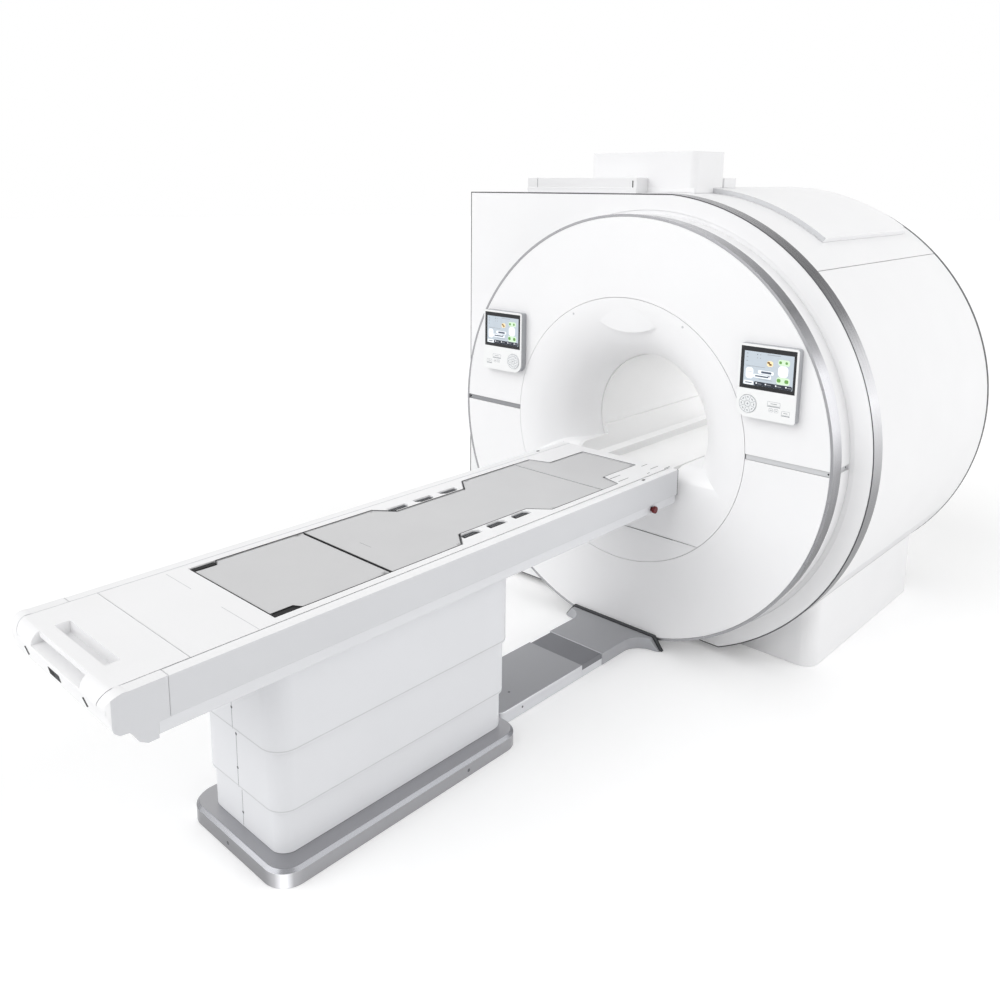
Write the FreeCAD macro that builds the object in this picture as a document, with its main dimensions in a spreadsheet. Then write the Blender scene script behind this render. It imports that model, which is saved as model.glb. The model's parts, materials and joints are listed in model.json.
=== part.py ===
import FreeCAD, Part
import math
import os
import re
import Sketcher

V = FreeCAD.Vector
doc = FreeCAD.newDocument("mri_scanner")

# ---------------------------------------------------------------------------
# Driving dimensions, millimetres and degrees.
# X is to the right, Z up. A station is a distance along Y from the front disc's face, into the
# scanner. The part's origin is on the floor under the isocentre, isocentre_depth behind that face.
# ---------------------------------------------------------------------------
SIZES = {
    # reference
    "axis_height": 1060, "isocentre_depth": 930, "seat": 0.3, "seam": 3,
    # round front disc
    "disc_radius": 1050, "flank_step": 5, "trim_depth": 94, "trim_wall": 6.7,
    "disc_wall": 8, "flank_wall": 15, "slot_bottom": 1056, "slot_top": 1081, "slot_depth": 8,
    "lip_width": 8, "lip_wall": 6,
    # bore funnel
    "funnel_radius": 654, "flare_radius": 309, "funnel_wall": 8, "chord_height": 581,
    "ledge_height": 930, "ledge_radius": 125, "chin_set": 2,
    "brow_set": 4, "brow_bulge": 1000, "brow_bottom": 490, "brow_radius": 400,
    # plate behind the disc
    "plate_front": 176, "plate_wall": 12, "plate_reveal": 97, "housing_reveal": 51,
    "crown_flat": 6, "plate_bottom": 24, "groove_reveal": 15, "groove_floor_step": 30,
    "groove_depth": 6, "band_depth": 91, "band_wall": 5,
    # barrel of the magnet enclosure
    "barrel_back": 1742, "cover_wall": 6, "upper_seam_angle": 45.5, "lower_seam_angle": 30,
    "under_edge_angle": 60,
    "cap_rise": 25, "cap_front": 575, "cap_back": 1645, "cap_seam_angle": 53.5, "cap_corner": 60,
    # rear
    "rear_trim_rise": 2, "rear_trim_width": 20, "rear_depth": 18, "rear_rounding": 8,
    "rear_radius": 560, "rear_flare": 215, "rear_wall": 8,
    # left housing and the covers on top
    "housing_back": 820, "housing_inset": 1, "housing_foot": 6,
    "tray_left": 881, "tray_right": 166, "tray_front": 300, "tray_back": 810, "tray_rise": 76,
    "tray_back_right": 100, "plinth_step": 4, "plinth_rise": 26,
    "tower_left": 527, "tower_right": 105, "tower_front": 400, "tower_back": 690,
    "tower_rise": 204, "tower_wall": 5, "tower_corner": 35,
    # pedestal and magnet feet
    "pedestal_half": 893, "pedestal_front": 328, "pedestal_back": 1600, "pedestal_corner": 80,
    "pedestal_sill": 60, "pedestal_wall": 6,
    "foot_centre": 430, "foot_half": 100, "foot_depth": 160, "foot_front": 400, "foot_back": 1280,
    # bore and its bridge
    "liner_radius": 338, "liner_wall": 10, "liner_back": 1500, "bridge_wall": 15.7,
    "bridge_top": 976, "bridge_floor": 852, "bridge_floor_wall": 10, "bridge_inset": 1,
    "track_inner": 160, "track_outer": 220, "track_top": 890,
    # magnet, coils and cold head
    "vessel_radius": 950, "vessel_bore": 445, "vessel_front": 240, "vessel_back": 1600,
    "vessel_wall": 12, "helium_radius": 880, "helium_bore": 500, "helium_gap": 60,
    "helium_wall": 8, "rod_radius": 12, "coil_wall": 9.4, "coil_front": 560, "coil_back": 1300,
    "gradient_front": 330, "gradient_back": 1480,
    "cold_head_x": -60, "cold_head_station": 480, "cold_head_radius": 55, "cold_head_rise": 129,
    "cold_head_hole": 75,
    # control panels
    "panel_inner": 620, "panel_width": 268, "panel_bottom": 1260, "panel_height": 320,
    "panel_depth": 40, "fascia_wall": 4, "panel_corner": 12, "panel_big_corner": 50,
    "glass_width": 249, "glass_height": 183, "glass_margin": 10, "glass_wall": 3.4,
    "pad_x": 54, "pad_height": 60, "pad_radius": 40, "key_radius": 15, "pad_wall": 8,
    "pad_rise": 3, "pad_gap": 0.8, "pad_travel": 2.5,
    # base plate and floor bridge
    "base_half": 292, "base_foot": 2236.5, "base_head": 1055, "base_height": 65.6,
    "base_corner_radius": 90, "base_chamfer": 12,
    "bridge_half": 160, "floor_bridge_height": 60, "floor_bridge_wall": 6, "bridge_corner": 45,
    "strip_foot": 478, "strip_head": 325, "strip_inset": 8, "strip_drop": 2, "strip_ledge": 36,
    "dock_half": 162, "dock_bend": 100, "dock_bend_station": 140, "dock_flare": 290,
    "dock_shoulder": 240, "dock_lip": 10, "seal_depth": 20, "seal_step": 7, "dock_gap": 0.3,
    # telescopic column
    "column_half": 219.5, "column_foot": 2178.5, "column_head": 1084, "column_corner": 60,
    "column_wall": 4, "column_gap": 8, "lower_cover_top": 316, "middle_cover_bottom": 222,
    "middle_cover_top": 540, "upper_cover_bottom": 447,
    "stage_half": 110, "stage_long_half": 160, "stage_wall": 14, "stage_gap": 0.5,
    "outer_stage_top": 385, "middle_stage_bottom": 280, "inner_stage_bottom": 462,
    "flange_wall": 10,
    # table frame and rails
    "table_half": 340, "table_top": 944, "table_head": 20, "rail_bottom": 820, "rail_edge": 6,
    "track_ledge": 895, "ledge_inner": 240, "frame_half": 328, "frame_bottom": 773,
    "frame_edge": 8, "nose_front": 2760, "nose_length": 58, "nose_fall": 42, "nose_radius": 45,
    "nose_corner": 34, "rail_end_length": 170, "frame_end_length": 135,
    "apron_back": 103, "apron_knee": 79, "apron_knee_rise": 14, "lip_back": 59, "lip_step": 5,
    "lip_knee": 27, "lip_knee_rise": 8, "lip_front": 14, "lip_front_rise": 18,
    # cradle
    "cradle_half": 294, "cradle_under_half": 265, "cradle_gap": 3, "cradle_head": 28,
    "cradle_end_length": 260, "mat_half": 257, "mat_wall": 16, "mat_recess": 18, "mat_gap": 4,
    "mat_foot": 2190, "mat_middle": 1716, "mat_head": 495, "mat_end": 100, "mat_waist": 177,
    "mat_waist_foot": 1376, "mat_waist_head": 849, "mat_slant": 68, "mat_neck": 155,
    "mat_neck_foot": 390, "mat_neck_head": 355, "mat_edge": 4, "strap_notch": 29,
    "strap_notch_length": 85, "strap_notch_slant": 18,
    "port_x": 205, "port_half": 20, "port_length": 100, "port_pitch": 145, "port_centre": 1132,
    "port_recess": 14, "port_floor": 7, "port_chamfer": 18,
    "grip_half": 168, "grip_lip": 28, "grip_bar": 45, "grip_well": 47,
    "grip_bottom": 905, "grip_under": 925,
    # cradle drive
    "drive_height": 862, "drive_inset": 360, "idler_station": 150, "pulley_radius": 25,
    "pulley_width": 20, "shaft_radius": 6, "shaft_play": 0.05, "belt_wall": 3, "belt_width": 16,
    "motor_radius": 32, "motor_start": 30, "motor_length": 140, "motor_foot_inset": 20,
    "ear_wall": 6, "clamp_half": 10, "clamp_inset": 430, "clamp_length": 40,
    # red stop knob
    "knob_station": 215, "knob_height": 797, "knob_radius": 20, "knob_wall": 13,
    "knob_neck": 11, "knob_stand": 10, "knob_sink": 16, "knob_travel": 4,
}

dims = doc.addObject("Spreadsheet::Sheet", "dims")
for row, (name, value) in enumerate(SIZES.items(), 1):
    dims.set(f"A{row}", name.replace("_", " "))
    dims.set(f"B{row}", str(value))
    dims.setAlias(f"B{row}", name)
doc.recompute()

WORD = re.compile(r"\b(?!(?:abs|sqrt|pi)\b)[a-z][a-z0-9_]*")
FRONT = "-isocentre_depth"
NODES = []

# Places that several sub-parts share, worked out from the sheet.
FLANK_RADIUS = "(disc_radius - flank_step)"
PLATE_RADIUS = "(disc_radius + plate_reveal)"
PLATE_TOP = f"(axis_height + {PLATE_RADIUS} - crown_flat)"
PLATE_LEFT = f"({PLATE_RADIUS} + housing_reveal)"
GROOVE_RADIUS = "(disc_radius + groove_reveal)"
RAIL_SEAM = "(nose_front - rail_end_length)"
FRAME_SEAM = "(nose_front - frame_end_length)"
CRADLE_SEAM = "(nose_front - cradle_end_length)"
NOSE_SHOULDER = "(nose_front - nose_length)"
NOSE_DROP = "(table_top - nose_fall)"
DRIVE_STATION = "(nose_front - drive_inset)"


# ---------------------------------------------------------------------------
# Helpers: every length is text in the sheet's words and is bound to the sheet.
# ---------------------------------------------------------------------------
def bound(text):
    return WORD.sub(lambda word: "dims." + word.group(0), str(text))


def size(text):
    return float(dims.evalExpression(bound(text)))


def place(item, x="0", y="0", z="0"):
    for axis, text in zip("xyz", (x, y, z)):
        item.setExpression(f"Placement.Base.{axis}", bound(text))


def node(item, label, x="0", y=FRONT, z="0"):
    """Give a finished sub-part its name and its place, and list it for export."""
    item.Label = label
    place(item, x, y, z)
    NODES.append(item)
    return item


def new_body(name):
    return doc.addObject("PartDesign::Body", name + "_body")


def arc_between(start, end, radius):
    """Centre of the arc from start to end; a positive radius turns left, a negative one right."""
    dx, dy = end[0] - start[0], end[1] - start[1]
    chord = math.hypot(dx, dy)
    rise = math.sqrt(max(radius * radius - chord * chord / 4, 0)) * (1 if radius > 0 else -1)
    middle = ((start[0] + end[0]) / 2, (start[1] + end[1]) / 2)
    return middle[0] - dy / chord * rise, middle[1] + dx / chord * rise


def draw_loop(sketch, corners):
    """Draw a closed outline. A corner is (x, y) or (x, y, radius of the arc that arrives there)."""
    points = [(size(corner[0]), size(corner[1])) for corner in corners]
    ends = []
    for index, corner in enumerate(corners):
        start, end = points[index - 1], points[index]
        if len(corner) == 2:
            edge = sketch.addGeometry(Part.LineSegment(V(*start, 0), V(*end, 0)))
            ends.append((edge, 1, 2))
            continue
        radius = size(corner[2])
        centre = arc_between(start, end, radius)
        angles = [math.atan2(p[1] - centre[1], p[0] - centre[0]) for p in (start, end)]
        if radius < 0:
            angles.reverse()
        circle = Part.Circle(V(*centre, 0), V(0, 0, 1), abs(radius))
        edge = sketch.addGeometry(Part.ArcOfCircle(circle, *angles))
        ends.append((edge, 1, 2) if radius > 0 else (edge, 2, 1))
        rule = sketch.addConstraint(Sketcher.Constraint("Radius", edge, abs(radius)))
        sketch.setExpression(f"Constraints[{rule}]", bound(f"abs({corner[2]})"))
    for index, (edge, _, finish) in enumerate(ends):
        following = ends[(index + 1) % len(ends)]
        sketch.addConstraint(Sketcher.Constraint("Coincident", edge, finish, *following[:2]))
        pin_point(sketch, edge, finish, corners[index])


def pin_point(sketch, edge, end, corner):
    """Hold one point of the outline at its bound coordinates."""
    for kind, axis, text in (("DistanceX", -2, corner[0]), ("DistanceY", -1, corner[1])):
        if abs(size(text)) < 1e-9:
            sketch.addConstraint(Sketcher.Constraint("PointOnObject", edge, end, axis))
            continue
        rule = sketch.addConstraint(Sketcher.Constraint(kind, -1, 1, edge, end, size(text)))
        sketch.setExpression(f"Constraints[{rule}]", bound(text))


def draw_circle(sketch, x, y, radius):
    """Draw a full circle at bound coordinates."""
    circle = Part.Circle(V(size(x), size(y), 0), V(0, 0, 1), size(radius))
    edge = sketch.addGeometry(circle)
    rule = sketch.addConstraint(Sketcher.Constraint("Radius", edge, size(radius)))
    sketch.setExpression(f"Constraints[{rule}]", bound(radius))
    pin_point(sketch, edge, 3, (x, y))


def new_sketch(body, plane, *loops):
    """Sketch on one of the body's own planes; a loop is a list of corners or (x, y, radius)."""
    sketch = body.newObject("Sketcher::SketchObject", body.Name + "_sketch")
    support = [item for item in body.Origin.OriginFeatures if item.Role == plane][0]
    sketch.AttachmentSupport = [(support, "")]
    sketch.MapMode = "FlatFace"
    for loop in loops:
        if isinstance(loop, tuple):
            draw_circle(sketch, *loop)
        else:
            draw_loop(sketch, loop)
    return sketch


def pad(body, plane, length, *loops, midplane=False):
    """Pad outlines: upward from the plan, along +Y from the front view, or centred on X."""
    item = body.newObject("PartDesign::Pad", body.Name + "_pad")
    item.Profile = new_sketch(body, plane, *loops)
    item.setExpression("Length", bound(length))
    item.Reversed = plane == "XZ_Plane"
    item.Midplane = midplane
    doc.recompute()
    return item


def pocket(body, plane, depth, *loops):
    """Cut outlines to a depth, or right through both ways when depth is None."""
    before = body.Shape.Volume
    item = body.newObject("PartDesign::Pocket", body.Name + "_pocket")
    item.Profile = new_sketch(body, plane, *loops)
    if depth is None:
        item.Type = "ThroughAll"
        item.SideType = "Symmetric"
    else:
        item.setExpression("Length", bound(depth))
    doc.recompute()
    if body.Shape.Volume > before - 1:
        raise RuntimeError(f"the pocket in {body.Name} cuts nothing")
    return item


def turned(name, *loops, angle="360", middle=0):
    """Turn (station, radius) outlines about the bore axis; middle is the angle from straight up."""
    body = new_body(name)
    item = body.newObject("PartDesign::Revolution", name + "_turn")
    item.Profile = new_sketch(body, "YZ_Plane", *loops)
    item.ReferenceAxis = (item.Profile[0], ["H_Axis"])
    item.setExpression("Angle", bound(angle))
    if angle != "360":
        item.Midplane = True
    body.Placement.Rotation = FreeCAD.Rotation(V(0, 1, 0), size(middle))
    if middle:
        body.setExpression("Placement.Rotation.Angle", bound(middle))
    doc.recompute()
    return body


def band(start, end, inner, outer):
    """Outline of a plain ring between two stations and two radii."""
    return [(start, inner), (end, inner), (end, outer), (start, outer)]


def rectangle(left, right, bottom, top):
    return [(left, bottom), (right, bottom), (right, top), (left, top)]


def rounded(left, right, bottom, top, radius):
    """Rectangle whose four corners share one radius."""
    return [
        (f"{left} + {radius}", bottom, radius), (f"{right} - {radius}", bottom),
        (right, f"{bottom} + {radius}", radius), (right, f"{top} - {radius}"),
        (f"{right} - {radius}", top, radius), (f"{left} + {radius}", top),
        (left, f"{top} - {radius}", radius), (left, f"{bottom} + {radius}"),
    ]


def block(name, x, y, z):
    """Box between pairs of bound coordinates."""
    item = doc.addObject("Part::Box", name)
    for length, (low, high) in zip(("Length", "Width", "Height"), (x, y, z)):
        item.setExpression(length, bound(f"({high}) - ({low})"))
    place(item, x[0], y[0], z[0])
    return item


def rod(name, radius, length, axis, x="0", y="0", z="0"):
    """Cylinder that starts at a bound point and runs along X, Y or Z."""
    item = doc.addObject("Part::Cylinder", name)
    item.setExpression("Radius", bound(radius))
    item.setExpression("Height", bound(length))
    turn = {"x": (V(0, 1, 0), 90), "y": (V(1, 0, 0), -90), "z": (V(0, 0, 1), 0)}[axis]
    item.Placement.Rotation = FreeCAD.Rotation(*turn)
    place(item, x, y, z)
    return item


def around_axis(name, radius, start, end):
    """Cylinder about the bore axis between two stations."""
    return rod(name, radius, f"({end}) - ({start})", "y", y=start, z="axis_height")


def fuse(name, *items):
    item = doc.addObject("Part::MultiFuse", name)
    item.Shapes = list(items)
    return item


def common(name, *items):
    item = doc.addObject("Part::MultiCommon", name)
    item.Shapes = list(items)
    return item


def cut(name, base, *tools):
    item = doc.addObject("Part::Cut", name)
    item.Base = base
    item.Tool = tools[0] if len(tools) == 1 else fuse(name + "_tools", *tools)
    return item


def mirrored_pair(name, item):
    """A right-hand piece and its mirror image on the left."""
    other = doc.addObject("Part::Mirroring", name + "_left")
    other.Source = item
    other.Normal = V(1, 0, 0)
    pair = doc.addObject("Part::Compound", name)
    pair.Links = [item, other]
    return pair


def round_edges(body, feature, radius, wanted):
    """Fillet the edges of a feature that the test picks by their centre of mass."""
    doc.recompute()
    edges = feature.Shape.Edges
    names = [f"Edge{i + 1}" for i, edge in enumerate(edges) if wanted(edge)]
    item = body.newObject("PartDesign::Fillet", body.Name + "_fillet")
    item.Base = (feature, names)
    item.setExpression("Radius", bound(radius))
    doc.recompute()
    return item


# ---------------------------------------------------------------------------
# Front disc
# ---------------------------------------------------------------------------
DISC_BACK = "plate_front + groove_depth - seat"


def disc_cover(label, edge, far):
    """Half of the disc's face with its flank and, behind the funnel's rim, a seating lip."""
    rim = "funnel_radius + seam - 1"
    lip = "disc_wall + seat"
    outline = [
        ("0", rim), ("0", "disc_radius - 2 * trim_wall + seat"),
        ("trim_depth + seat", "disc_radius - 2 * trim_wall + seat"),
        ("trim_depth + seat", FLANK_RADIUS), (DISC_BACK, FLANK_RADIUS),
        (DISC_BACK, f"{FLANK_RADIUS} - flank_wall"), ("disc_wall", f"{FLANK_RADIUS} - flank_wall"),
        ("disc_wall", f"{rim} + lip_width"), ("disc_wall + lip_wall", f"{rim} + lip_width"),
        ("disc_wall + lip_wall", f"{rim} - lip_width"), (lip, f"{rim} - lip_width"), (lip, rim),
    ]
    body = turned(label, outline)
    half = "2 * disc_radius"
    pocket(body, "XZ_Plane", None, rectangle(f"-{half}", half, edge, far))
    node(body, label, z="axis_height")


def disc_trim_ring():
    inner = "disc_radius - 2 * trim_wall + 2 * seat"
    outline = [("0", inner), ("trim_depth", inner), ("trim_depth", FLANK_RADIUS),
               ("0", "disc_radius")]
    node(turned("disc_trim_ring", outline), "disc_trim_ring", z="axis_height")


def slot_strips():
    """Sunk grey strips between the two disc covers, one each side of the funnel."""
    right = block("slot_strip",
                  ("funnel_radius + seam", "disc_radius - 2 * trim_wall - seat"),
                  ("slot_depth", DISC_BACK), ("slot_bottom + seat", "slot_top - seat"))
    node(mirrored_pair("slot_strips", right), "slot_strips")


def flare(inset):
    """Outline from the face to the bore along the flare, set back into its wall by inset."""
    return [(inset, "funnel_radius"),
            ("flare_radius", f"funnel_radius - flare_radius + {inset}", f"flare_radius - {inset}")]


FLARE_END = "1.1 * flare_radius"


def chin_block(name, inset):
    """Everything below the ledge and behind the rounded chin, set back by inset."""
    body = new_body(name)
    ledge = f"ledge_height - axis_height - {inset}"
    front = f"chin_set + {inset}"
    low = "-2 * funnel_radius"
    pad(body, "YZ_Plane", "3 * funnel_radius", [
        (front, low), (FLARE_END, low), (FLARE_END, ledge), ("chin_set + ledge_radius", ledge),
        (front, "ledge_height - ledge_radius - axis_height", f"ledge_radius - {inset}"),
    ], midplane=True)
    return body


def brow_block():
    """Gently bulging brow that stands out of the flare above the bore."""
    bulge = rod("brow_bulge_tool", "brow_bulge", "funnel_radius", "z",
                y="brow_set + brow_bulge")
    lens = rod("brow_lens_tool", "brow_radius", "flare_radius", "y",
               z="brow_bottom + brow_radius")
    return common("brow", bulge, lens)


def bore_funnel():
    """Flared mouth of the bore, with a brow above and the ledge and chin that the table reaches."""
    outside = turned("funnel_outside", [
        ("0", "0"), ("0", "funnel_radius"), *flare("funnel_wall"), ("flare_radius", "0")])
    mouth = turned("funnel_mouth", [
        ("-seam", "0"), ("-seam", "funnel_radius"), *flare("0"),
        (FLARE_END, "funnel_radius - flare_radius"), (FLARE_END, "0")])
    space = cut("funnel_space", mouth, chin_block("chin_front", "0"), brow_block())
    bore = rod("chin_bore", "liner_radius", "2 * flare_radius", "y", y="-0.5 * flare_radius")
    low = block("under_chord", ("-2 * funnel_radius", "2 * funnel_radius"),
                ("-funnel_radius", "2 * funnel_radius"),
                ("-2 * funnel_radius", "chord_height - axis_height + seam - 1"))
    solid = cut("bore_funnel", outside, space, chin_block("chin_back", "funnel_wall"), bore, low)
    node(solid, "bore_funnel", z="axis_height")


def funnel_lower_panel():
    drop = "axis_height - chord_height"
    half = f"sqrt(funnel_radius ^ 2 - ({drop}) ^ 2)"
    body = new_body("funnel_lower_panel")
    pad(body, "XZ_Plane", "disc_wall", [
        (f"-{half}", f"-({drop})"),
        ("0", "-funnel_radius", "funnel_radius"), (half, f"-({drop})", "funnel_radius"),
    ])
    node(body, "funnel_lower_panel", z="axis_height")


# ---------------------------------------------------------------------------
# Plate behind the disc
# ---------------------------------------------------------------------------
def plate_outline(inset):
    """Square on the left, round about the bore on the right, flat at the floor and at the top."""
    radius = f"({PLATE_RADIUS} - {inset})"
    low = f"(plate_bottom + {inset})"
    high = f"({PLATE_TOP} - {inset})"
    left = f"-({PLATE_LEFT} - {inset})"
    return [
        (left, low), (f"sqrt({radius} ^ 2 - (axis_height - {low}) ^ 2)", low),
        (radius, "axis_height", radius),
        (f"sqrt({radius} ^ 2 - ({high} - axis_height) ^ 2)", high, radius), (left, high),
    ]


def front_plate():
    body = new_body("front_plate")
    pad(body, "XZ_Plane", "plate_wall", plate_outline("(band_wall + seat)"))
    pocket(body, "XZ_Plane", "groove_depth", ("0", "axis_height", GROOVE_RADIUS))
    pocket(body, "XZ_Plane", None, ("0", "axis_height", "disc_radius - groove_floor_step"))
    node(body, "front_plate", y=f"plate_front {FRONT}")


def front_plate_trim():
    body = new_body("front_plate_trim")
    pad(body, "XZ_Plane", "band_depth", plate_outline("0"), plate_outline("band_wall"))
    pocket(body, "XZ_Plane", "groove_depth", ("0", "axis_height", GROOVE_RADIUS))
    node(body, "front_plate_trim", y=f"plate_front {FRONT}")


# ---------------------------------------------------------------------------
# Barrel covers
# ---------------------------------------------------------------------------
BARREL_FRONT = "plate_front + band_depth + seat"
SEAM_ANGLE = f"seam / {PLATE_RADIUS} * 180 / pi"


def barrel_shell(name, angle, middle):
    profile = band(BARREL_FRONT, "barrel_back - seat", f"{PLATE_RADIUS} - cover_wall",
                   PLATE_RADIUS)
    return turned(name, profile, angle=angle, middle=middle)


def barrel_covers():
    top = barrel_shell("barrel_top_cover", f"180 - 2 * upper_seam_angle - {SEAM_ANGLE}", "0")
    pocket(top, "XY_Plane", None, ("cold_head_x", "cold_head_station", "cold_head_hole"))
    node(top, "barrel_top_cover", z="axis_height")
    span = f"upper_seam_angle + lower_seam_angle - {SEAM_ANGLE}"
    lean = "90 - 0.5 * (upper_seam_angle - lower_seam_angle)"
    node(barrel_shell("right_side_cover", span, lean), "right_side_cover", z="axis_height")
    node(barrel_shell("left_side_cover", span, f"-({lean})"), "left_side_cover", z="axis_height")
    under = barrel_shell("underside_cover", f"under_edge_angle - lower_seam_angle - {SEAM_ANGLE}",
                         "90 + 0.5 * (lower_seam_angle + under_edge_angle)")
    node(mirrored_pair("underside_covers", under), "underside_covers", z="axis_height")


def top_cap():
    body = turned("top_cap", band("cap_front", "cap_back", f"{PLATE_RADIUS} + seat",
                                  f"{PLATE_RADIUS} + cap_rise"), angle="180 - 2 * cap_seam_angle")
    back, short = size("cap_back"), 2 * size("cap_rise")
    round_edges(body, body.Tip, "cap_corner",
                lambda edge: abs(edge.CenterOfMass.y - back) < 1 and edge.Length < short)
    node(body, "top_cap", z="axis_height")


def rear_pieces():
    start = "barrel_back + rear_trim_width"
    ring = turned("rear_trim_ring",
                  band("barrel_back", start, f"{PLATE_RADIUS} - cover_wall",
                       f"{PLATE_RADIUS} + rear_trim_rise"), angle="180 + 2 * under_edge_angle")
    node(ring, "rear_trim_ring", z="axis_height")
    face = f"{start} + rear_depth"
    edge = f"{PLATE_RADIUS} - 1"
    cover = turned("rear_cover", [
        (f"{start} + seat", "rear_radius + 1.5 * cover_wall"),
        (f"{face} - rear_wall", "rear_radius + 1.5 * cover_wall"),
        (f"{face} - rear_wall", "rear_radius + seam - 1"), (face, "rear_radius + seam - 1"),
        (face, f"{edge} - rear_rounding"), (f"{face} - rear_rounding", edge, "rear_rounding"),
        (f"{start} + seat", edge), (f"{start} + seat", f"{edge} - 2 * cover_wall"),
        (f"{face} - rear_wall", f"{edge} - 2 * cover_wall"),
        (f"{face} - rear_wall", "rear_radius + 3 * cover_wall"),
        (f"{start} + seat", "rear_radius + 3 * cover_wall"),
    ])
    wide = f"2 * {PLATE_RADIUS}"
    pocket(cover, "XZ_Plane", None,
           rectangle(f"-{wide}", wide, f"-{wide}", "plate_bottom - axis_height"))
    node(cover, "rear_cover", z="axis_height")


def rear_funnel():
    face = "barrel_back + rear_trim_width + rear_depth"
    bend = f"{face} - rear_flare"
    inner = "rear_radius - rear_flare"
    body = turned("rear_funnel", [
        ("liner_back + seat", inner), (bend, inner), (face, "rear_radius", "rear_flare"),
        (f"{face} - rear_wall", "rear_radius"),
        (bend, f"{inner} + rear_wall", "rear_wall - rear_flare"),
        ("liner_back + seat", f"{inner} + rear_wall"),
    ])
    node(body, "rear_funnel", z="axis_height")


# ---------------------------------------------------------------------------
# Left housing and the covers on top of the scanner
# ---------------------------------------------------------------------------
def cap_tool(name):
    return around_axis(name, f"{PLATE_RADIUS} + cap_rise + seat", "cap_front - seat",
                       "cap_back + seat")


def left_housing():
    """Square housing between the plate's left edge and the barrel."""
    radius = f"({PLATE_RADIUS} + seat)"
    left = f"-({PLATE_LEFT} - housing_inset)"
    inner = "-(pedestal_half + housing_foot)"
    low = f"axis_height - sqrt({radius} ^ 2 - (pedestal_half + housing_foot) ^ 2)"
    high = f"-sqrt({radius} ^ 2 - ({PLATE_TOP} - axis_height) ^ 2)"
    body = new_body("left_housing")
    pad(body, "XZ_Plane", f"housing_back - ({BARREL_FRONT})", [
        (left, "plate_bottom + housing_foot"), (inner, "plate_bottom + housing_foot"),
        (inner, low), (f"-{radius}", "axis_height", f"-{radius}"),
        (high, PLATE_TOP, f"-{radius}"), (left, PLATE_TOP),
    ])
    place(body, "0", BARREL_FRONT, "0")
    node(cut("left_housing", body, cap_tool("housing_cap_tool")), "left_housing")


def service_tray():
    body = new_body("service_tray")
    pad(body, "XY_Plane", "tray_rise - seat", [
        ("-tray_left", "tray_front"), ("-tray_right", "tray_front"),
        ("-tray_right", "tower_front - seat"), ("-tower_left - seat", "tower_front - seat"),
        ("-tower_left - seat", "tower_back + seat"), ("tray_back_right", "tower_back + seat"),
        ("tray_back_right", "tray_back"), ("-tray_left", "tray_back"),
    ])
    place(body, "0", "0", f"{PLATE_TOP} + seat")
    plinth = new_body("tray_plinth")
    pad(plinth, "XY_Plane", "plinth_rise", [
        ("-tray_left", "tray_front - plinth_step"), ("-tray_right", "tray_front - plinth_step"),
        ("-tray_right", "tower_front - plinth_step - seat"),
        ("tower_right", "tower_front - plinth_step - seat"),
        ("tower_right", "tower_front - seat"), ("-tray_left", "tower_front - seat"),
    ])
    place(plinth, "0", "0", f"{PLATE_TOP} + seat")
    barrel = around_axis("tray_barrel_tool", f"{PLATE_RADIUS} + seat", "0", "barrel_back")
    node(cut("service_tray", fuse("tray_and_plinth", body, plinth), barrel,
             cap_tool("tray_cap_tool")), "service_tray")


def tower_block(name, inset, bottom):
    """Upright block with rounded corners, set back by inset at the sides and at the top."""
    body = new_body(name)
    pad(body, "XY_Plane", f"tower_rise - {inset} - {bottom}",
        rounded(f"({inset} - tower_left)", f"(tower_right - {inset})", f"(tower_front + {inset})",
                f"(tower_back - {inset})", f"(tower_corner - {inset})"))
    place(body, "0", "0", f"{PLATE_TOP} + {bottom}")
    return body


def cold_head_cover():
    barrel = around_axis("tower_barrel_tool", f"{PLATE_RADIUS} + seat", "0", "barrel_back")
    item = cut("cold_head_cover", tower_block("tower_outer", "0", "seat"),
               tower_block("tower_inner", "tower_wall", "(-tower_wall)"), barrel,
               cap_tool("tower_cap_tool"))
    node(item, "cold_head_cover")


# ---------------------------------------------------------------------------
# Pedestal and feet
# ---------------------------------------------------------------------------
def pedestal_cover():
    """Floor-standing skirt whose top edge follows the barrel."""
    radius = f"({PLATE_RADIUS} + 2 * seat)"
    reach = "pedestal_half"
    low = f"sqrt({radius} ^ 2 - (axis_height - pedestal_sill) ^ 2)"
    high = f"axis_height - sqrt({radius} ^ 2 - {reach} ^ 2)"
    body = new_body("pedestal_cover")
    inset = "pedestal_wall"
    pad(body, "XY_Plane", f"{high} + pedestal_wall",
        rounded(f"-{reach}", reach, "pedestal_front", "pedestal_back", "pedestal_corner"),
        rounded(f"-({reach} - {inset})", f"({reach} - {inset})", f"pedestal_front + {inset}",
                f"pedestal_back - {inset}", f"(pedestal_corner - {inset})"))
    far = f"sqrt({radius} ^ 2 - ({high} + 2 * pedestal_wall - axis_height) ^ 2)"
    pocket(body, "XZ_Plane", None, [
        (f"-{low}", "pedestal_sill", radius), (low, "pedestal_sill"),
        (far, f"{high} + 2 * pedestal_wall", radius), (f"-{far}", f"{high} + 2 * pedestal_wall"),
    ])
    node(body, "pedestal_cover")


def magnet_feet():
    """Four feet that carry the vacuum vessel on the floor."""
    feet = []
    for centre in ("-foot_centre", "foot_centre"):
        for start in ("foot_front", "foot_back"):
            feet.append(block(f"foot_{len(feet)}",
                              (f"{centre} - foot_half", f"{centre} + foot_half"),
                              (start, f"{start} + foot_depth"), ("0", "0.5 * axis_height")))
    vessel = around_axis("feet_vessel_tool", "vessel_radius + seat", "0", "barrel_back")
    node(cut("magnet_feet", fuse("feet", *feet), vessel), "magnet_feet")


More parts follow.
